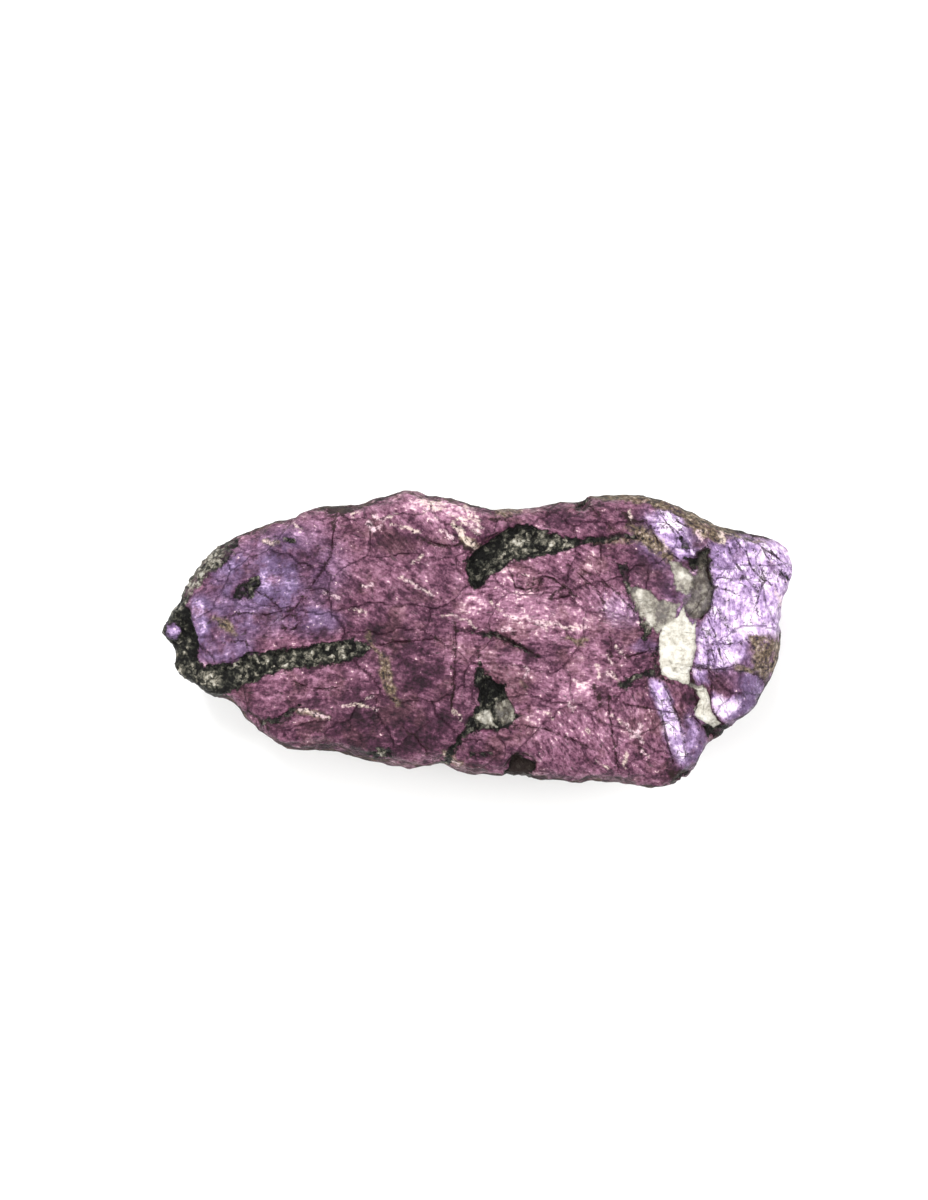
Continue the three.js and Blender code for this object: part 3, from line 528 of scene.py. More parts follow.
def patch_gap(xy, corners):
    """How far each point is outside a patch; negative inside it"""
    away = np.full(len(xy), FAR)
    inside = np.zeros(len(xy), dtype=bool)
    for a, b in zip(corners, corners[1:] + corners[:1]):
        a, b = np.array(a), np.array(b)
        d = b - a
        t = np.clip((xy - a) @ d / (d @ d), 0.0, 1.0)
        away = np.minimum(away, np.linalg.norm(xy - a - t[:, None] * d, axis=1))
        if d[1]:
            crosses = (a[1] > xy[:, 1]) != (b[1] > xy[:, 1])
            inside ^= crosses & (xy[:, 0] < a[0] + d[0] * (xy[:, 1] - a[1]) / d[1])
    return np.where(inside, -away, away)


def gap(xy, patches=(), chains=()):
    """How far each point is outside a set of patches and chains; negative inside it"""
    gaps = [patch_gap(xy, patch) for patch in patches] + [chain_gap(xy, chain) for chain in chains]
    return np.minimum.reduce(gaps)


def crack_fields(xy, cracks, width):
    """For the nearest crack of each point: the signed distance to its line, and its half width
    there, which is less than nothing past its ends"""
    nearest = np.full(len(xy), FAR)
    side = np.full(len(xy), FAR)
    half = np.full(len(xy), -1.0)
    for line in cracks:
        ends = [np.array(p) for p in line]
        lengths = [np.linalg.norm(b - a) for a, b in zip(ends, ends[1:])]
        whole, before = sum(lengths), 0.0
        for i, (a, b) in enumerate(zip(ends, ends[1:])):
            d = (b - a) / lengths[i]
            raw = (xy - a) @ d
            along = np.clip(raw, 0.0, lengths[i])
            away = np.linalg.norm(xy - a - along[:, None] * d, axis=1)
            left = (xy - a) @ np.array([-d[1], d[0]])
            signed = np.where(left < 0, -away, away)
            closer = away < nearest
            place = before + raw
            over = np.minimum(place, whole - place)
            here = width / 2 * np.clip(over / 1.6, -1.0, 1.0) * (0.7 + 0.3 * np.cos(place * 1.7))
            nearest = np.where(closer, away, nearest)
            side = np.where(closer, signed, side)
            half = np.where(closer, here, half)
            before += lengths[i]
    return side, half


def ovals(xy, table):
    """How strongly each point lies in soft ovals: the strengths of those it lies in, added up"""
    total = np.zeros(len(xy))
    for x, y, half_x, half_y, turn, strength in table:
        c, s = math.cos(math.radians(turn)), math.sin(math.radians(turn))
        dx, dy = xy[:, 0] - x, xy[:, 1] - y
        u, v = (dx * c + dy * s) / half_x, (dy * c - dx * s) / half_y
        total += strength * smoothstep(1.45, 0.55, np.hypot(u, v))
    return total


def crystal_grains(points):
    """Splits the stone into long grains: the number of each point's grain, how far it is from
    the next grain, and the grains' own places"""
    rng = random.Random(GRAIN_SEED)
    places = np.array([
        (rng.uniform(-40, 40), rng.uniform(-19, 19), rng.uniform(0, 18))
        for _ in range(CRYSTAL_GRAINS)
    ])
    stretch = np.array([0.62, 1.0, 0.8])
    bent = points + 1.3 * np.stack([grain(points, 5.0, k) for k in (1, 2, 3)], axis=1)
    bent = bent + 0.35 * np.stack([grain(points, 1.3, k) for k in (4, 5, 6)], axis=1)
    first = np.full(len(points), FAR)
    second = np.full(len(points), FAR)
    number = np.zeros(len(points), dtype=int)
    for i, place in enumerate(places):
        away = np.linalg.norm((bent - place) * stretch, axis=1)
        closer = away < first
        second = np.where(closer, first, np.minimum(second, away))
        number[closer] = i
        first = np.minimum(first, away)
    return number, second - first, places


def stone_fields(points, sizes):
    """What grows where, for points in millimetres. Gaps are negative inside what they stand for.
    Below the face the veins wander."""
    depth = np.clip(WANDER_BELOW - points[:, 2], 0.0, WANDER_BELOW)
    drift = np.stack([grain(points, 11.0, 21), grain(points, 11.0, 22)], axis=1)
    ragged = np.stack([grain(points, 2.4, 23), grain(points, 2.4, 24)], axis=1)
    fine = np.stack([grain(points, 0.8, 25), grain(points, 0.8, 26)], axis=1)
    xy = points[:, :2] + drift * (0.42 * depth)[:, None]
    rough_xy = xy + 0.34 * ragged + 0.3 * fine
    knob = np.linalg.norm(points[:, :2] - KNOB[:2], axis=1) - KNOB[2]
    knob = np.where(points[:, 2] > TURN_TO, knob, FAR)
    side, half = crack_fields(xy + 0.22 * ragged + 0.12 * fine, CRACKS, sizes.crack_width)
    wide_xy = xy + 0.6 * ragged + 0.3 * fine
    lavender = gap(rough_xy, LAVENDER)
    return {
        "rock": np.maximum(gap(rough_xy, ROCK), -0.1 - knob),
        "veins": np.maximum(gap(wide_xy, (), ROCK_VEINS), -0.1 - knob),
        # Pale crystals in the rock, and painted shade in its pockets and hollows
        "crystals": np.clip(ovals(xy + 0.3 * fine, CRYSTALS_AND_SHADE), -1.0, 1.0),
        "quartz": gap(xy + 0.15 * ragged + 0.15 * fine, QUARTZ),
        "clouded": gap(rough_xy, CLOUDED),
        "smoky": gap(wide_xy, SMOKY),
        "chip": gap(rough_xy, [CHIP]),
        "olive": gap(rough_xy, [BROWN_PATCH], OLIVE),
        # Pale flecks, partly painted glints
        "stains": gap(rough_xy, (), STAINS),
        "flecks": gap(rough_xy, (), FLECKS_AND_GLINTS),
        "crack_side": side,
        "crack_half": half,
        "violet": np.clip(ovals(wide_xy, VIOLET), 0.0, 1.0),
        "lavender": smoothstep(0.5, -0.5, lavender),
        # Lighter and darker purple, partly painted highlight
        "tone": ovals(wide_xy, TONES),
    }


def mesh_points(mesh):
    """The mesh's vertices as an array in millimetres"""
    flat = np.empty(len(mesh.vertices) * 3, dtype=np.float32)
    mesh.vertices.foreach_get("co", flat)
    return flat.reshape(-1, 3).astype(np.float64) / MM


def set_points(mesh, points):
    """Moves the mesh's vertices to an array of places in millimetres"""
    mesh.vertices.foreach_set("co", (points * MM).astype(np.float32).ravel())
    mesh.update()


def mesh_normals(mesh):
    """The direction that each vertex faces"""
    flat = np.empty(len(mesh.vertices) * 3, dtype=np.float32)
    mesh.vertices.foreach_get("normal", flat)
    return flat.reshape(-1, 3).astype(np.float64)


def relax(mesh, points, weight, rounds):
    """Draws each point towards the middle of its neighbours, by its weight, and every second time
    a little further back, so that the stone keeps its size"""
    edges = np.empty(len(mesh.edges) * 2, dtype=np.int32)
    mesh.edges.foreach_get("vertices", edges)
    a, b = edges.reshape(-1, 2).T
    count = np.bincount(a, minlength=len(points)) + np.bincount(b, minlength=len(points))
    for way in (1.0, -1.04) * rounds:
        total = np.empty_like(points)
        for axis in range(3):
            total[:, axis] = np.bincount(a, points[b, axis], len(points))
            total[:, axis] += np.bincount(b, points[a, axis], len(points))
        points = points + way * weight[:, None] * (total / count[:, None] - points)
    return points


def even_copy(node, grid):
    """A new object whose mesh is the node's, merged and rebuilt on an even grid"""
    mesh = node.data.copy()
    bm = bmesh.new()
    bm.from_mesh(mesh)
    bmesh.ops.remove_doubles(bm, verts=bm.verts, dist=1e-6)
    bm.to_mesh(mesh)
    bm.free()
    mesh.materials.clear()
    stone = bpy.data.objects.new("purpurite_stone", mesh)
    bpy.context.scene.collection.objects.link(stone)
    remesh = stone.modifiers.new("even grid", "REMESH")
    remesh.mode = "VOXEL"
    remesh.voxel_size = grid * MM
    bpy.context.view_layer.update()
    seen = stone.evaluated_get(bpy.context.evaluated_depsgraph_get())
    even = bpy.data.meshes.new_from_object(seen)
    even.name = "purpurite_stone"
    stone.modifiers.clear()
    stone.data = even
    bpy.data.meshes.remove(mesh)
    return stone


def refine(mesh, chosen):
    """Cuts each chosen face in four"""
    bm = bmesh.new()
    bm.from_mesh(mesh)
    bm.faces.ensure_lookup_table()
    edges = {edge for face, yes in zip(bm.faces, chosen) if yes for edge in face.edges}
    bmesh.ops.subdivide_edges(bm, edges=list(edges), cuts=1, use_grid_fill=True)
    bm.to_mesh(mesh)
    bm.free()


def face_middles(mesh):
    """The middle of each face, in millimetres, and the way it faces"""
    middles = np.empty(len(mesh.polygons) * 3, dtype=np.float32)
    normals = np.empty(len(mesh.polygons) * 3, dtype=np.float32)
    mesh.polygons.foreach_get("center", middles)
    mesh.polygons.foreach_get("normal", normals)
    return middles.reshape(-1, 3).astype(np.float64) / MM, normals.reshape(-1, 3)


def silk_fields(points):
    """The silk of the purple: places along and across the fibres of each grain, and the grain's
    own tone. The fibres of a grain run as the nearest entry of SILK says, give or take."""
    number, border, places = crystal_grains(points)
    rng = random.Random(SILK_SEED)
    turns = []
    for place in places:
        near = min(SILK, key=lambda entry: math.dist(entry[:2], place[:2]))
        turns.append(near[2] + rng.gauss(0, 9))
    tones = np.array([rng.random() for _ in places])
    angle = np.radians(np.array(turns)[number] + 8 * grain(points, 9.0, 51))
    x, y, z = (points - places[number]).T
    along = x * np.cos(angle) + y * np.sin(angle) + 40 * tones[number]
    across = y * np.cos(angle) - x * np.sin(angle) + 40 * tones[number]
    return np.stack([along, across, z], axis=1), tones[number] * smoothstep(0.0, 0.3, border)


def relief(points, normals, fields, silk, sizes):
    """How far each point moves out along its normal, in millimetres"""
    face = smoothstep(0.35, 0.8, normals[:, 2]) * smoothstep(TURN_FROM, TURN_TO, points[:, 2])
    number, border, places = crystal_grains(points)
    rng = random.Random(FACET_SEED)
    steps = np.array([rng.uniform(-1, 1) for _ in places])
    tilts = np.array([(rng.uniform(-1, 1), rng.uniform(-1, 1), 0.0) for _ in places])
    lean = np.sum(tilts[number] * (points - places[number]), axis=1) * 0.035
    facets = sizes.facet_rise * steps[number] + np.clip(lean, -0.18, 0.18)
    facets *= smoothstep(0.0, 0.5, border)
    fibres = grain(silk * (0.2, 1.6, 0.8), 1.0, 31) + grain(silk * (0.5, 2.4, 1.0), 1.0, 32)
    lumps = sizes.lump_rise * (grain(points, 3.6, 33) + 0.6 * grain(points, 1.6, 34))
    worn = facets + sizes.fibre_rise * fibres + lumps
    torn = 0.9 * grain(points, 5.2, 35) - 0.8 * np.abs(grain(points, 2.6, 36))
    torn += 0.35 * grain(points, 1.1, 37) + 1.6 * facets + 0.3
    rise = worn * face + sizes.break_rise * torn * (1 - face)

    in_rock = smoothstep(0.12, -0.2, np.minimum(fields["rock"], fields["veins"]))
    clods = np.abs(grain(points, 1.1, 38)) + 0.6 * grain(points, 0.55, 39)
    rise = rise * (1 - 0.8 * in_rock) + in_rock * (sizes.rock_rise * clods - 0.2)
    rise += 0.25 * in_rock * fields["crystals"]
    in_clouded = smoothstep(0.1, -0.3, fields["clouded"])
    rise += in_clouded * (0.12 + 0.2 * grain(points, 1.2, 40))
    in_smoky = smoothstep(0.2, -0.5, fields["smoky"])
    rise -= in_smoky * (0.25 + 0.2 * grain(points, 1.0, 45))
    in_quartz = smoothstep(0.15, -0.45, fields["quartz"])
    block = 0.3 * grain(points, 1.9, 41) + 0.15 * grain(points, 0.8, 42)
    rise = rise * (1 - in_quartz) + in_quartz * (sizes.quartz_rise + block)

    groove = fields["crack_half"] + 0.12
    cut = np.clip(1 - np.abs(fields["crack_side"]) / np.maximum(groove, 1e-3), 0.0, 1.0)
    rise -= sizes.crack_depth * cut * (groove > 0.02) * (1 - in_quartz)
    pits = smoothstep(0.4, 0.62, grain(points, 0.9, 43))
    pits *= smoothstep(-0.1, 0.3, grain(points, 4.0, 44))
    rise -= 0.18 * pits * face
    return rise


def add(tree, kind, *values, named=None, out=None, stops=(), **settings):
    """Adds a node with its settings, and fills its inputs with values or links, in turn or by name.
    Gives back the output of a name, or the first. Stops are a colour ramp's places and colours."""
    node = tree.nodes.new(kind)
    node.location = (180 * (len(tree.nodes) % 14), -260 * (len(tree.nodes) // 14))
    for name, value in settings.items():
        setattr(node, name, value)
    while stops and len(node.color_ramp.elements) < len(stops):
        node.color_ramp.elements.new(0.5)
    for place, (position, tint) in enumerate(stops):
        node.color_ramp.elements[place].position = position
        node.color_ramp.elements[place].color = (*tint, 1.0)
    filled = list(zip([socket for socket in node.inputs if socket.enabled], values))
    filled += [(node.inputs[name], value) for name, value in (named or {}).items()]
    for socket, value in filled:
        if isinstance(value, bpy.types.NodeSocket):
            tree.links.new(value, socket)
        elif socket.type == "RGBA":
            socket.default_value = (*value[:3], 1.0)
        else:
            socket.default_value = value
    seen = [socket for socket in node.outputs if socket.enabled and out in (None, socket.name)]
    return seen[0] if seen else None


MATHS = "ShaderNodeMath"
VECTOR = "ShaderNodeVectorMath"
STEP = "ShaderNodeMapRange"
MIX = "ShaderNodeMix"
RAMP = "ShaderNodeValToRGB"
NOISE = "ShaderNodeTexNoise"
CELLS = "ShaderNodeTexVoronoi"
SMOOTH = {"interpolation_type": "SMOOTHSTEP"}
TIMES = {"operation": "MULTIPLY"}
TIMES_PLUS = {"operation": "MULTIPLY_ADD"}
COLOURS = {"data_type": "RGBA"}
WHITE = (1.0, 1.0, 1.0)
BLACK = (0.0, 0.0, 0.0)


def between(one, other, share):
    """A colour part of the way from one to another"""
    return tuple(a + (b - a) * share for a, b in zip(one, other))


def purpurite_material(colours):
    """Purpurite in its rock. The purple phosphate comes from the altering of a lithium iron
    manganese phosphate. It breaks along its cleavage into silky fibres that are lighter or darker
    as they lie, with pale flecks and dark threads along them; its palest silk, its lavender and
    the pale flecks are partly painted sheen and painted glints. Worn by handling, it is semi-matt.
    Grainy dark rock and clouded quartz run through it in veins, with painted shade in its pockets
    and along its edges, and a dull brown rind, partly painted shade, covers the broken sides.
    IOR 1.65 is that of the phosphate."""
    material = bpy.data.materials.new("worn_purpurite_in_dark_rock")
    material.use_nodes = True
    tree = material.node_tree
    tree.nodes.clear()
    c = {name: tuple(getattr(colours, name)) for name in StoneColours.__annotations__}

    place = add(tree, "ShaderNodeTexCoord", out="Object")
    mm = add(tree, VECTOR, place, (1000.0, 1000.0, 1000.0), **TIMES)
    silk = add(tree, "ShaderNodeAttribute", out="Vector", attribute_name="silk")
    long_silk = add(tree, VECTOR, silk, (0.26, 1.0, 0.6), **TIMES)
    short_silk = add(tree, VECTOR, silk, (0.5, 1.0, 0.7), **TIMES)
    names = (
        "rock", "veins", "crystals", "quartz", "clouded", "smoky", "olive", "stains", "flecks",
        "crack_side", "crack_half", "violet", "lavender", "tone", "grain_tone", "chip",
    )
    field = {
        name: add(tree, "ShaderNodeAttribute", out="Fac", attribute_name=name) for name in names
    }

    # Noises: where each is read, the size of its grains in millimetres, detail and roughness
    noises = {
        "fibres": (long_silk, 0.6, 5.0, 0.65),
        "threads": (short_silk, 0.34, 3.0, 0.6),
        "streaks": (long_silk, 0.3, 2.0, 0.5),
        "patches": (mm, 6.0, 3.0, 0.6),
        "blotches": (mm, 2.4, 4.0, 0.65),
        "mottle": (mm, 0.9, 5.0, 0.72),
        "specks": (mm, 0.42, 2.0, 0.6),
        "pulses": (mm, 1.5, 3.0, 0.6),
        "hues": (mm, 3.6, 4.0, 0.6),
        "edges": (mm, 0.6, 4.0, 0.7),
        "grit": (mm, 0.34, 3.0, 0.65),
        "crooks": (short_silk, 1.5, 3.0, 0.55),
    }
    n = {}
    for seed, (name, (where, size, detail, rough)) in enumerate(noises.items()):
        n[name] = add(
            tree, NOISE, where, float(seed), 1 / size, detail, rough, out="Fac",
            noise_dimensions="4D",
        )
    ragged = add(tree, MATHS, n["edges"], 0.5, operation="SUBTRACT")

    # Cleavage: small blocks along the fibres, each lighter or darker, with their joints
    block = add(tree, CELLS, short_silk, 1 / 0.75, out="Color")
    block_tone = add(tree, "ShaderNodeSeparateColor", block, out="Red")
    wide_place = add(tree, VECTOR, silk, (0.42, 0.8, 0.5), **TIMES)
    warp = add(tree, NOISE, mm, 0.8, 2.0, 0.5, out="Color")
    wide_place = add(tree, VECTOR, warp, (1.0, 1.0, 1.0), wide_place, **TIMES_PLUS)
    joint_gap = add(tree, CELLS, wide_place, 1 / 1.7, out="Distance", feature="DISTANCE_TO_EDGE")
    joints = add(tree, STEP, joint_gap, 0.05, 0.012, **SMOOTH)
    joints = add(tree, MATHS, joints, add(tree, STEP, n["pulses"], 0.48, 0.6, **SMOOTH), **TIMES)

    # How light the purple is. The silk is crisper where it is light.
    crisp = add(tree, STEP, field["tone"], -0.1, 0.16, 0.45, 1.0, **SMOOTH)
    off_middle = add(tree, MATHS, n["threads"], 0.5, operation="SUBTRACT")
    crisp = add(tree, MATHS, off_middle, crisp, **TIMES)
    value = -1.49
    for source, weight in (
        (n["fibres"], 0.7), (n["mottle"], 1.1), (crisp, 0.85), (n["specks"], 0.5),
        (n["blotches"], 0.9), (n["patches"], 0.3), (block_tone, 0.14), (field["grain_tone"], 0.08),
        (field["tone"], 1.0),
    ):
        value = add(tree, MATHS, source, weight, value, **TIMES_PLUS)
    calm = add(tree, STEP, field["violet"], 0.0, 1.0, 1.0, 0.84)
    value = add(tree, MATHS, value, 0.5, operation="SUBTRACT")
    value = add(tree, MATHS, value, calm, 0.5, **TIMES_PLUS)
    # Its palest stops, silk and pink, are partly painted sheen
    body = add(tree, RAMP, value, stops=(
        (0.0, c["plum"]), (0.26, c["purple"]), (0.47, c["mauve"]), (0.68, c["silk"]),
        (0.97, c["pink"]),
    ))
    dull = add(tree, RAMP, value, stops=(
        (0.0, c["plum"]), (0.3, between(c["stain"], c["brick"], 0.45)), (0.55, c["brick"]),
        (0.78, between(c["brick"], c["cream"], 0.35)), (1.0, c["cream"]),
    ))
    dull_mask = add(tree, STEP, n["hues"], 0.48, 0.64, 0.0, 0.4, **SMOOTH)
    body = add(tree, MIX, dull_mask, body, dull, **COLOURS)

    # Violet and lavender, where the silk lies towards the light
    violet = add(tree, RAMP, value, stops=(
        (0.05, between(c["plum"], c["violet"], 0.2)), (0.34, between(c["plum"], c["violet"], 0.65)),
        (0.52, c["violet"]), (0.72, c["lavender"]), (0.95, c["bright"]),
    ))
    violet_mask = add(tree, STEP, n["blotches"], 0.34, 0.56, 0.25, 0.95, **SMOOTH)
    violet_mask = add(tree, MATHS, violet_mask, field["violet"], **TIMES)
    body = add(tree, MIX, violet_mask, body, violet, **COLOURS)
    pale = add(tree, STEP, n["pulses"], 0.42, 0.62, -0.05, 0.12, **SMOOTH)
    lavender = add(tree, RAMP, add(tree, MATHS, value, pale, operation="ADD"), stops=(
        (0.08, between(c["plum"], c["violet"], 0.75)),
        (0.3, between(c["violet"], c["lavender"], 0.45)), (0.45, c["lavender"]),
        (0.58, between(c["lavender"], c["bright"], 0.45)), (0.75, c["bright"]),
    ))
    lavender_mask = add(tree, STEP, n["pulses"], 0.32, 0.5, 0.45, 1.0, **SMOOTH)
    lavender_mask = add(tree, MATHS, lavender_mask, field["lavender"], **TIMES)
    body = add(tree, MIX, lavender_mask, body, lavender, **COLOURS)

    # Joints, dark threads and short crooked cracks in the purple
    crooked = add(tree, MATHS, n["crooks"], 0.5, operation="SUBTRACT")
    crooked = add(tree, MATHS, crooked, 0.0, operation="ABSOLUTE")
    crooked = add(tree, STEP, crooked, 0.014, 0.004, **SMOOTH)
    crooked = add(tree, MATHS, crooked, add(tree, STEP, n["blotches"], 0.5, 0.6, **SMOOTH), **TIMES)
    threads = add(tree, STEP, n["streaks"], 0.38, 0.28, 0.0, 0.75, **SMOOTH)
    fewer = add(tree, STEP, field["lavender"], 0.0, 1.0, 1.0, 0.6)
    threads = add(tree, MATHS, threads, fewer, **TIMES)
    lines = add(tree, MATHS, joints, crooked, operation="MAXIMUM")
    bolder = add(tree, STEP, field["lavender"], 0.0, 1.0, 0.34, 0.8)
    lines = add(tree, MATHS, lines, bolder, **TIMES)
    lines = add(tree, MATHS, lines, threads, operation="MAXIMUM")
    spots = add(tree, STEP, n["specks"], 0.37, 0.28, 0.0, 0.8, **SMOOTH)
    spots = add(tree, MATHS, spots, add(tree, STEP, n["blotches"], 0.54, 0.44, **SMOOTH), **TIMES)
    lines = add(tree, MATHS, lines, spots, operation="MAXIMUM")
    body = add(tree, MIX, lines, body, between(c["plum"], c["stain"], 0.5), **COLOURS)

    # Painted glints: pale flecks, fine and scattered, denser where the purple is light
    glint_speck = add(tree, MATHS, n["threads"], 0.6, n["specks"], **TIMES_PLUS)
    glint_speck = add(tree, MATHS, value, 0.34, glint_speck, **TIMES_PLUS)
    glint_speck = add(tree, STEP, glint_speck, 1.18, 1.26, 0.0, 0.75, **SMOOTH)
    body = add(tree, MIX, glint_speck, body, between(c["pink"], c["cream"], 0.5), **COLOURS)

    # Brown-black stain: along the chains, beside the cracks and in scattered blotches
    beside = add(tree, MATHS, field["crack_side"], 0.0, operation="ABSOLUTE")
    near = add(tree, STEP, beside, 0.75, 0.1, 0.0, 0.14, **SMOOTH)
    stain = add(tree, STEP, field["stains"], 0.5, -0.7, 0.0, 0.34, **SMOOTH)
    stain = add(tree, MATHS, stain, near, operation="MAXIMUM")
    stain = add(tree, MATHS, stain, n["edges"], operation="ADD")
    stain = add(tree, STEP, stain, 0.62, 0.76, 0.0, 0.88, **SMOOTH)
    body = add(tree, MIX, stain, body, c["stain"], **COLOURS)

    # A dull brown rind on the broken sides and the back, with the purple showing through; it is
    # partly painted shade, darker where the surface turns away from the face
    facing = add(tree, "ShaderNodeNewGeometry", out="Normal")
    up = add(tree, "ShaderNodeSeparateXYZ", facing, out="Z")
    height = add(tree, "ShaderNodeSeparateXYZ", mm, out="Z")
    lean = add(tree, MATHS, ragged, 0.9, up, **TIMES_PLUS)
    lean = add(tree, STEP, lean, 0.55, 0.25, **SMOOTH)
    low = add(tree, STEP, height, 12.5, 10.0, **SMOOTH)
    rind_and_shade_mask = add(tree, MATHS, lean, low, operation="MAXIMUM")
    covers = add(tree, STEP, n["hues"], 0.62, 0.46, 0.15, 0.92, **SMOOTH)
    rind_and_shade_mask = add(tree, MATHS, rind_and_shade_mask, covers, **TIMES)
    less = add(tree, STEP, field["lavender"], 0.0, 1.0, 1.0, 0.35)
    rind_and_shade_mask = add(tree, MATHS, rind_and_shade_mask, less, **TIMES)
    rind_and_shade = add(tree, RAMP, n["mottle"], stops=(
        (0.36, c["black"]), (0.5, c["stain"]), (0.62, between(c["stain"], c["tan"], 0.5)),
        (0.76, c["tan"]),
    ))
    body = add(tree, MIX, rind_and_shade_mask, body, rind_and_shade, **COLOURS)

    # Masks with ragged edges from the gaps: how ragged in millimetres, and how soft
    masks = {}
    for name, rag, soft in (
        ("olive", 1.6, 0.35), ("flecks", 1.3, 0.16), ("rock", 1.8, 0.12), ("veins", 2.2, 0.18),
        ("smoky", 1.0, 0.3), ("clouded", 1.2, 0.2), ("quartz", 0.7, 0.07),
    ):
        edge = add(tree, MATHS, ragged, rag, field[name], **TIMES_PLUS)
        masks[name] = add(tree, STEP, edge, soft, -soft, **SMOOTH)
    vein_mask = add(tree, STEP, n["pulses"], 0.32, 0.5, 0.6, 1.0, **SMOOTH)
    vein_mask = add(tree, MATHS, masks["veins"], vein_mask, **TIMES)
    rock_mask = add(tree, MATHS, masks["rock"], vein_mask, operation="MAXIMUM")

    # Olive alteration: grains of tan and cream over dark ones
    olive_value = add(tree, MATHS, n["specks"], 1.0, -0.5, **TIMES_PLUS)
    olive_value = add(tree, MATHS, n["edges"], olive_value, operation="ADD")
    olive = add(tree, RAMP, olive_value, stops=(
        (0.32, c["black"]), (0.45, between(c["stain"], c["tan"], 0.5)), (0.56, c["tan"]),
        (0.76, between(c["tan"], c["cream"], 0.5)),
    ))
    olive_mask = add(tree, STEP, n["mottle"], 0.34, 0.52, 0.25, 0.92, **SMOOTH)
    olive_mask = add(tree, MATHS, olive_mask, masks["olive"], **TIMES)
    body = add(tree, MIX, olive_mask, body, olive, **COLOURS)
    # Flecks along the chains, in cream and pinkish white, partly painted glints
    fleck_glint_mask = add(tree, STEP, n["threads"], 0.38, 0.54, 0.12, 0.72, **SMOOTH)
    fleck_glint_mask = add(tree, MATHS, fleck_glint_mask, masks["flecks"], **TIMES)
    broken_up = add(tree, STEP, n["specks"], 0.34, 0.5, **SMOOTH)
    fleck_glint_mask = add(tree, MATHS, fleck_glint_mask, broken_up, **TIMES)
    pinkish = between(c["pink"], WHITE, 0.15)
    fleck_glint_tint = add(tree, STEP, n["hues"], 0.4, 0.6, **SMOOTH)
    fleck_glint_tint = add(tree, MIX, fleck_glint_tint, c["cream"], pinkish, **COLOURS)
    body = add(tree, MIX, fleck_glint_mask, body, fleck_glint_tint, **COLOURS)

    # Dark rock: grains from black to grey-green, pale crystals, painted shade in its pockets, and a
    # dark line round it, painted shade where the walls of its hollows meet the purple
    warp = add(tree, NOISE, mm, 1.6, 2.0, 0.5, out="Color")
    set_in = add(tree, VECTOR, warp, (0.6, 0.6, 0.6), mm, **TIMES_PLUS)
    cell = add(tree, CELLS, set_in, 1 / 0.6, out="Color")
    cell_gap = add(tree, CELLS, set_in, 1 / 0.6, out="Distance")
    cell_tone = add(tree, "ShaderNodeSeparateColor", cell, out="Green")
    # The pale crystals lighten the rock, and the painted shade in its pockets darkens it
    rock_value = -0.67
    for source, weight in (
        (n["grit"], 1.3), (cell_tone, 0.5), (field["crystals"], 0.3), (n["pulses"], 0.5),
        (cell_gap, -0.3),
    ):
        rock_value = add(tree, MATHS, source, weight, rock_value, **TIMES_PLUS)
    rock = add(tree, RAMP, rock_value, stops=(
        (0.26, c["black"]), (0.44, c["rock"]), (0.6, c["rock_grain"]), (0.76, c["crystal"]),
        (0.95, c["quartz"]),
    ))
    # Painted shade: black just inside the rock's edge, brown-black just outside it
    line = add(tree, MATHS, ragged, 1.8, field["rock"], **TIMES_PLUS)
    inner_rim_shade = add(tree, STEP, line, -0.3, -0.05, 0.0, 0.3, **SMOOTH)
    rock = add(tree, MIX, inner_rim_shade, rock, c["black"], **COLOURS)
    chip_mask = add(tree, STEP, field["chip"], 0.0, -0.5, 0.0, 0.85, **SMOOTH)
    rock = add(tree, MIX, chip_mask, rock, c["stain"], **COLOURS)
    outer_rim_shade = add(tree, STEP, line, 0.24, 0.0, 0.0, 0.6, **SMOOTH)
    body = add(tree, MIX, outer_rim_shade, body, c["stain"], **COLOURS)
    body = add(tree, MIX, rock_mask, body, rock, **COLOURS)

    # Smoky quartz, darker towards its edges, then clouded quartz
    deep = add(tree, STEP, field["smoky"], -1.2, 0.1, 0.0, 0.16, **SMOOTH)
    smoke_value = add(tree, MATHS, n["mottle"], deep, operation="SUBTRACT")
    smoke = add(tree, RAMP, smoke_value, stops=(
        (0.22, c["black"]), (0.34, between(c["rock"], c["smoke"], 0.6)), (0.44, c["smoke"]),
        (0.56, c["clouded"]), (0.7, c["crystal"]),
    ))
    smoke_mask = add(tree, MATHS, masks["smoky"], 0.93, **TIMES)
    body = add(tree, MIX, smoke_mask, body, smoke, **COLOURS)
    cloud_value = add(tree, MATHS, n["pulses"], n["mottle"], operation="ADD")
    cloud_value = add(tree, MATHS, field["crystals"], 0.2, cloud_value, **TIMES_PLUS)
    cloud = add(tree, RAMP, add(tree, MATHS, cloud_value, 0.5, **TIMES), stops=(
        (0.4, between(c["rock"], c["smoke"], 0.6)), (0.46, c["smoke"]), (0.52, c["clouded"]),
        (0.66, c["quartz"]),
    ))
    cloud_mask = add(tree, MATHS, masks["clouded"], 0.94, **TIMES)
    body = add(tree, MIX, cloud_mask, body, cloud, **COLOURS)

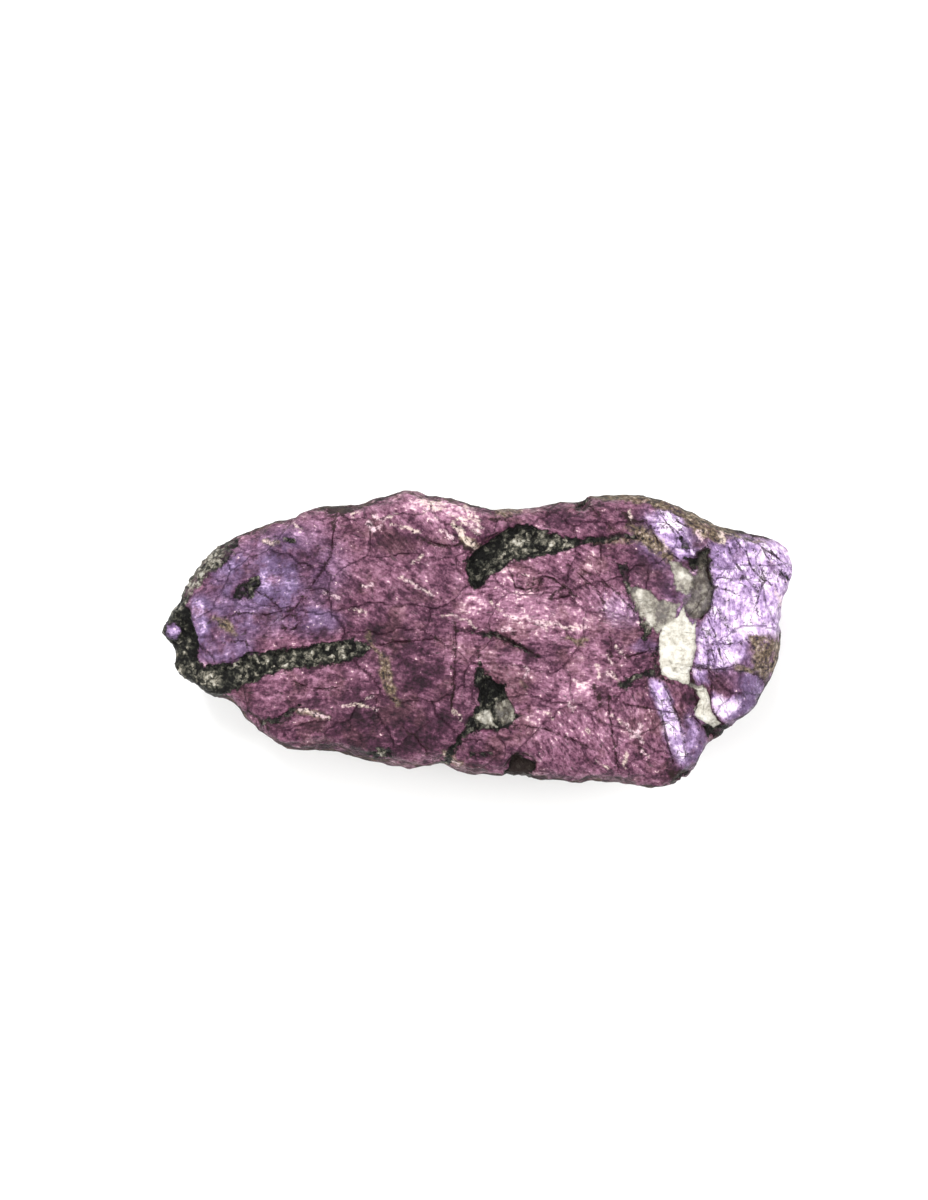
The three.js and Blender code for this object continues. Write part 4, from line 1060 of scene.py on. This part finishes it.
    # White quartz: milky, with grey seams across it, a little cream, and clouded edges
    across = add(tree, VECTOR, mm, (0.16, 1.0, 0.5), **TIMES)
    seam = add(tree, NOISE, across, 21.0, 1 / 1.3, 3.0, 0.6, out="Fac", noise_dimensions="4D")
    seam = add(tree, MATHS, seam, 0.5, operation="SUBTRACT")
    seam = add(tree, MATHS, seam, 0.0, operation="ABSOLUTE")
    seam = add(tree, STEP, seam, 0.024, 0.002, 0.0, 0.36, **SMOOTH)
    seam = add(tree, MATHS, seam, add(tree, STEP, n["pulses"], 0.42, 0.58, **SMOOTH), **TIMES)
    milk = add(tree, RAMP, n["mottle"], stops=(
        (0.34, c["clouded"]), (0.44, between(c["quartz"], c["tan"], 0.3)), (0.52, c["quartz"]),
        (0.7, between(c["quartz"], WHITE, 0.4)),
    ))
    milk = add(tree, MIX, seam, milk, between(c["clouded"], c["smoke"], 0.3), **COLOURS)
    edge = add(tree, STEP, field["quartz"], -0.4, 0.05, 0.0, 0.55, **SMOOTH)
    milk = add(tree, MIX, edge, milk, c["clouded"], **COLOURS)
    body = add(tree, MIX, masks["quartz"], body, milk, **COLOURS)

    # The cracks that stand out, uneven in width and broken here and there
    crack_gap = add(tree, MATHS, beside, field["crack_half"], operation="SUBTRACT")
    crack_gap = add(tree, MATHS, ragged, 0.7, crack_gap, **TIMES_PLUS)
    in_crack = add(tree, STEP, crack_gap, 0.07, -0.05, **SMOOTH)
    crack_mask = add(tree, STEP, n["pulses"], 0.4, 0.56, 0.2, 0.85, **SMOOTH)
    in_crack = add(tree, MATHS, in_crack, crack_mask, **TIMES)
    body = add(tree, MIX, in_crack, body, between(c["plum"], c["stain"], 0.5), **COLOURS)

    # Roughness and shine: silk, then rind with its painted shade, stain, rock, quartz and cracks
    rough = add(tree, STEP, n["fibres"], 0.35, 0.65, 0.55, 0.36, **SMOOTH)
    shine = add(tree, STEP, value, 0.2, 0.7, 0.1, 0.45, **SMOOTH)
    glassy = add(tree, MATHS, masks["clouded"], masks["quartz"], operation="MAXIMUM")
    for mask, its_rough, its_shine in (
        (rind_and_shade_mask, 0.8, 0.1), (stain, 0.7, 0.1), (masks["olive"], 0.65, 0.2),
        (rock_mask, 0.5, 0.12), (glassy, 0.28, 0.4), (in_crack, 0.9, 0.0),
    ):
        rough = add(tree, MIX, mask, rough, its_rough)
        shine = add(tree, MIX, mask, shine, its_shine)

    # Fine relief in millimetres
    rise = 0.0
    for source, height_mm in (
        (n["fibres"], 0.22), (n["threads"], 0.1), (n["specks"], 0.05), (block_tone, 0.05),
        (n["mottle"], 0.2), (lines, -0.05),
    ):
        rise = add(tree, MATHS, source, height_mm, rise, **TIMES_PLUS)
    clods = add(tree, MATHS, cell_gap, -0.35, n["grit"], **TIMES_PLUS)
    clods = add(tree, MATHS, clods, 0.5, **TIMES)
    rise = add(tree, MIX, rock_mask, rise, clods)
    milky = add(tree, MATHS, n["mottle"], 0.3, **TIMES)
    milky = add(tree, MATHS, seam, -0.3, milky, **TIMES_PLUS)
    rise = add(tree, MIX, glassy, rise, milky)
    rise = add(tree, MATHS, in_crack, -0.15, rise, **TIMES_PLUS)
    bumps = add(tree, "ShaderNodeBump", 1.0, MM, 0.1, rise)

    shader = add(tree, "ShaderNodeBsdfPrincipled", named={
        "Base Color": body, "Roughness": rough, "IOR": 1.65, "Normal": bumps,
        "Specular IOR Level": shine,
    })
    add(tree, "ShaderNodeOutputMaterial", shader)
    return material


def floor_material(colours):
    """A sheet of smooth white paper. It is matt, and its pulp mottles it a little."""
    material = bpy.data.materials.new("white_paper_sheet")
    material.use_nodes = True
    tree = material.node_tree
    tree.nodes.clear()
    place = add(tree, "ShaderNodeTexCoord", out="Object")
    pulp = add(tree, NOISE, place, 50.0, 3.0, out="Fac")
    white = tuple(colours.floor)
    tint = add(tree, RAMP, pulp, stops=((0.3, between(white, BLACK, 0.01)), (0.7, white)))
    bumps = add(tree, "ShaderNodeBump", 0.1, 0.1 * MM, 0.1, pulp)
    shader = add(tree, "ShaderNodeBsdfPrincipled", named={
        "Base Color": tint, "Roughness": 0.9, "Normal": bumps,
    })
    add(tree, "ShaderNodeOutputMaterial", shader)
    return material


def area_light(name, place, size, power):
    """A square soft light that faces the stone, given in metres and watts"""
    data = bpy.data.lights.new(name, "AREA")
    data.size = size
    data.energy = power
    light = bpy.data.objects.new(name, data)
    light.location = place
    towards = Vector((0, 0, 0.01)) - Vector(place)
    light.rotation_euler = towards.to_track_quat("-Z", "Y").to_euler()
    bpy.context.scene.collection.objects.link(light)


class PURPURITE_OT_stage(Operator):
    """Makes the camera, the lights, the white surroundings and the pale floor"""

    bl_idname = "purpurite.stage"
    bl_label = "Stage"

    def execute(self, context):
        scene = context.scene
        scene.view_settings.view_transform = "Standard"
        camera = bpy.data.cameras.new("camera")
        camera.lens = camera.sensor_width * CAMERA_AWAY / (FRAME_HEIGHT_MM * MM)
        camera.clip_start = 0.01
        eye = bpy.data.objects.new("camera", camera)
        x, y = FRAME_MIDDLE_MM
        eye.location = (x * MM, y * MM, CAMERA_AWAY + WIDEST_MM * MM)
        scene.collection.objects.link(eye)
        scene.camera = eye

        world = bpy.data.worlds.new("white_surroundings")
        world.use_nodes = True
        background = world.node_tree.nodes["Background"]
        background.inputs["Color"].default_value = (1, 1, 1, 1)
        background.inputs["Strength"].default_value = SURROUNDINGS
        scene.world = world
        for light in LIGHTS:
            area_light(*light)

        bm = bmesh.new()
        bmesh.ops.create_grid(bm, x_segments=1, y_segments=1, size=FLOOR_HALF)
        mesh = bpy.data.meshes.new("floor")
        bm.to_mesh(mesh)
        bm.free()
        floor = bpy.data.objects.new("floor", mesh)
        mesh.materials.append(floor_material(scene.purpurite_colours))
        scene.collection.objects.link(floor)
        return {"FINISHED"}


class PURPURITE_OT_stone(Operator):
    """Makes the stone from the solid: an even mesh, finer on the face, with its fine relief"""

    bl_idname = "purpurite.stone"
    bl_label = "Stone"

    def execute(self, context):
        scene = context.scene
        sizes = scene.purpurite_sizes
        stone = even_copy(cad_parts[NODE], sizes.grid)
        mesh = stone.data

        points = mesh_points(mesh)
        fields = stone_fields(points, sizes)
        weight = np.clip(np.abs(fields["rock"]) / 1.2, 0.25, 1.0)
        weight *= smoothstep(1.2, 3.0, np.linalg.norm(points[:, :2] - KNOB[:2], axis=1))
        weight *= points[:, 2] > RESTS_BELOW
        points = relax(mesh, points, 0.6 * weight, sizes.smoothing)
        set_points(mesh, points)

        middles, normals = face_middles(mesh)
        refine(mesh, (normals[:, 2] > FACES_UP) & (middles[:, 2] > TURN_FROM))
        middles, normals = face_middles(mesh)
        fields = stone_fields(middles, sizes)
        near_crack = (np.abs(fields["crack_side"]) < 0.25) & (fields["crack_half"] > 0)
        near_rock = np.abs(fields["rock"]) < 0.2
        high = (normals[:, 2] > FACES_UP) & (middles[:, 2] > FINEST_FROM)
        refine(mesh, (near_crack | near_rock) & high)

        points = mesh_points(mesh)
        points = relax(mesh, points, np.where(points[:, 2] < RESTS_BELOW, 0.0, 0.4), 2)
        set_points(mesh, points)
        fields = stone_fields(points, sizes)
        fields["silk"], fields["grain_tone"] = silk_fields(points)
        normals = mesh_normals(mesh)
        rise = relief(points, normals, fields, fields["silk"], sizes)
        moved = points + normals * rise[:, None]
        moved[:, 2] = np.maximum(moved[:, 2], 0.0)
        set_points(mesh, moved)
        for name, values in fields.items():
            kind, key = ("FLOAT", "value") if values.ndim == 1 else ("FLOAT_VECTOR", "vector")
            attribute = mesh.attributes.new(name, kind, "POINT")
            attribute.data.foreach_set(key, values.astype(np.float32).ravel())

        mesh.shade_smooth()
        mesh.materials.append(purpurite_material(scene.purpurite_colours))
        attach(stone, "root")
        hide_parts(NODE)
        return {"FINISHED"}


class PURPURITE_PT_panel(Panel):
    """Lists what makes the specimen, with its settings"""

    bl_idname = "PURPURITE_PT_panel"
    bl_label = "Purpurite"
    bl_space_type = "VIEW_3D"
    bl_region_type = "UI"
    bl_category = "Purpurite"

    def draw(self, context):
        layout = self.layout
        for operator in (PURPURITE_OT_stage, PURPURITE_OT_stone):
            layout.operator(operator.bl_idname)
        for settings in (context.scene.purpurite_sizes, context.scene.purpurite_colours):
            box = layout.box()
            for name in settings.__annotations__:
                box.prop(settings, name)


CLASSES = (StoneSizes, StoneColours, PURPURITE_OT_stage, PURPURITE_OT_stone, PURPURITE_PT_panel)


def register():
    """Makes the settings and operators known to Blender"""
    for cls in CLASSES:
        bpy.utils.register_class(cls)
    bpy.types.Scene.purpurite_sizes = PointerProperty(type=StoneSizes)
    bpy.types.Scene.purpurite_colours = PointerProperty(type=StoneColours)


def unregister():
    """Takes them away again"""
    del bpy.types.Scene.purpurite_colours
    del bpy.types.Scene.purpurite_sizes
    for cls in reversed(CLASSES):
        bpy.utils.unregister_class(cls)


def main():
    """Makes the stage and the stone"""
    register()
    bpy.ops.purpurite.stage()
    bpy.ops.purpurite.stone()


if __name__ == "__main__":
    main()
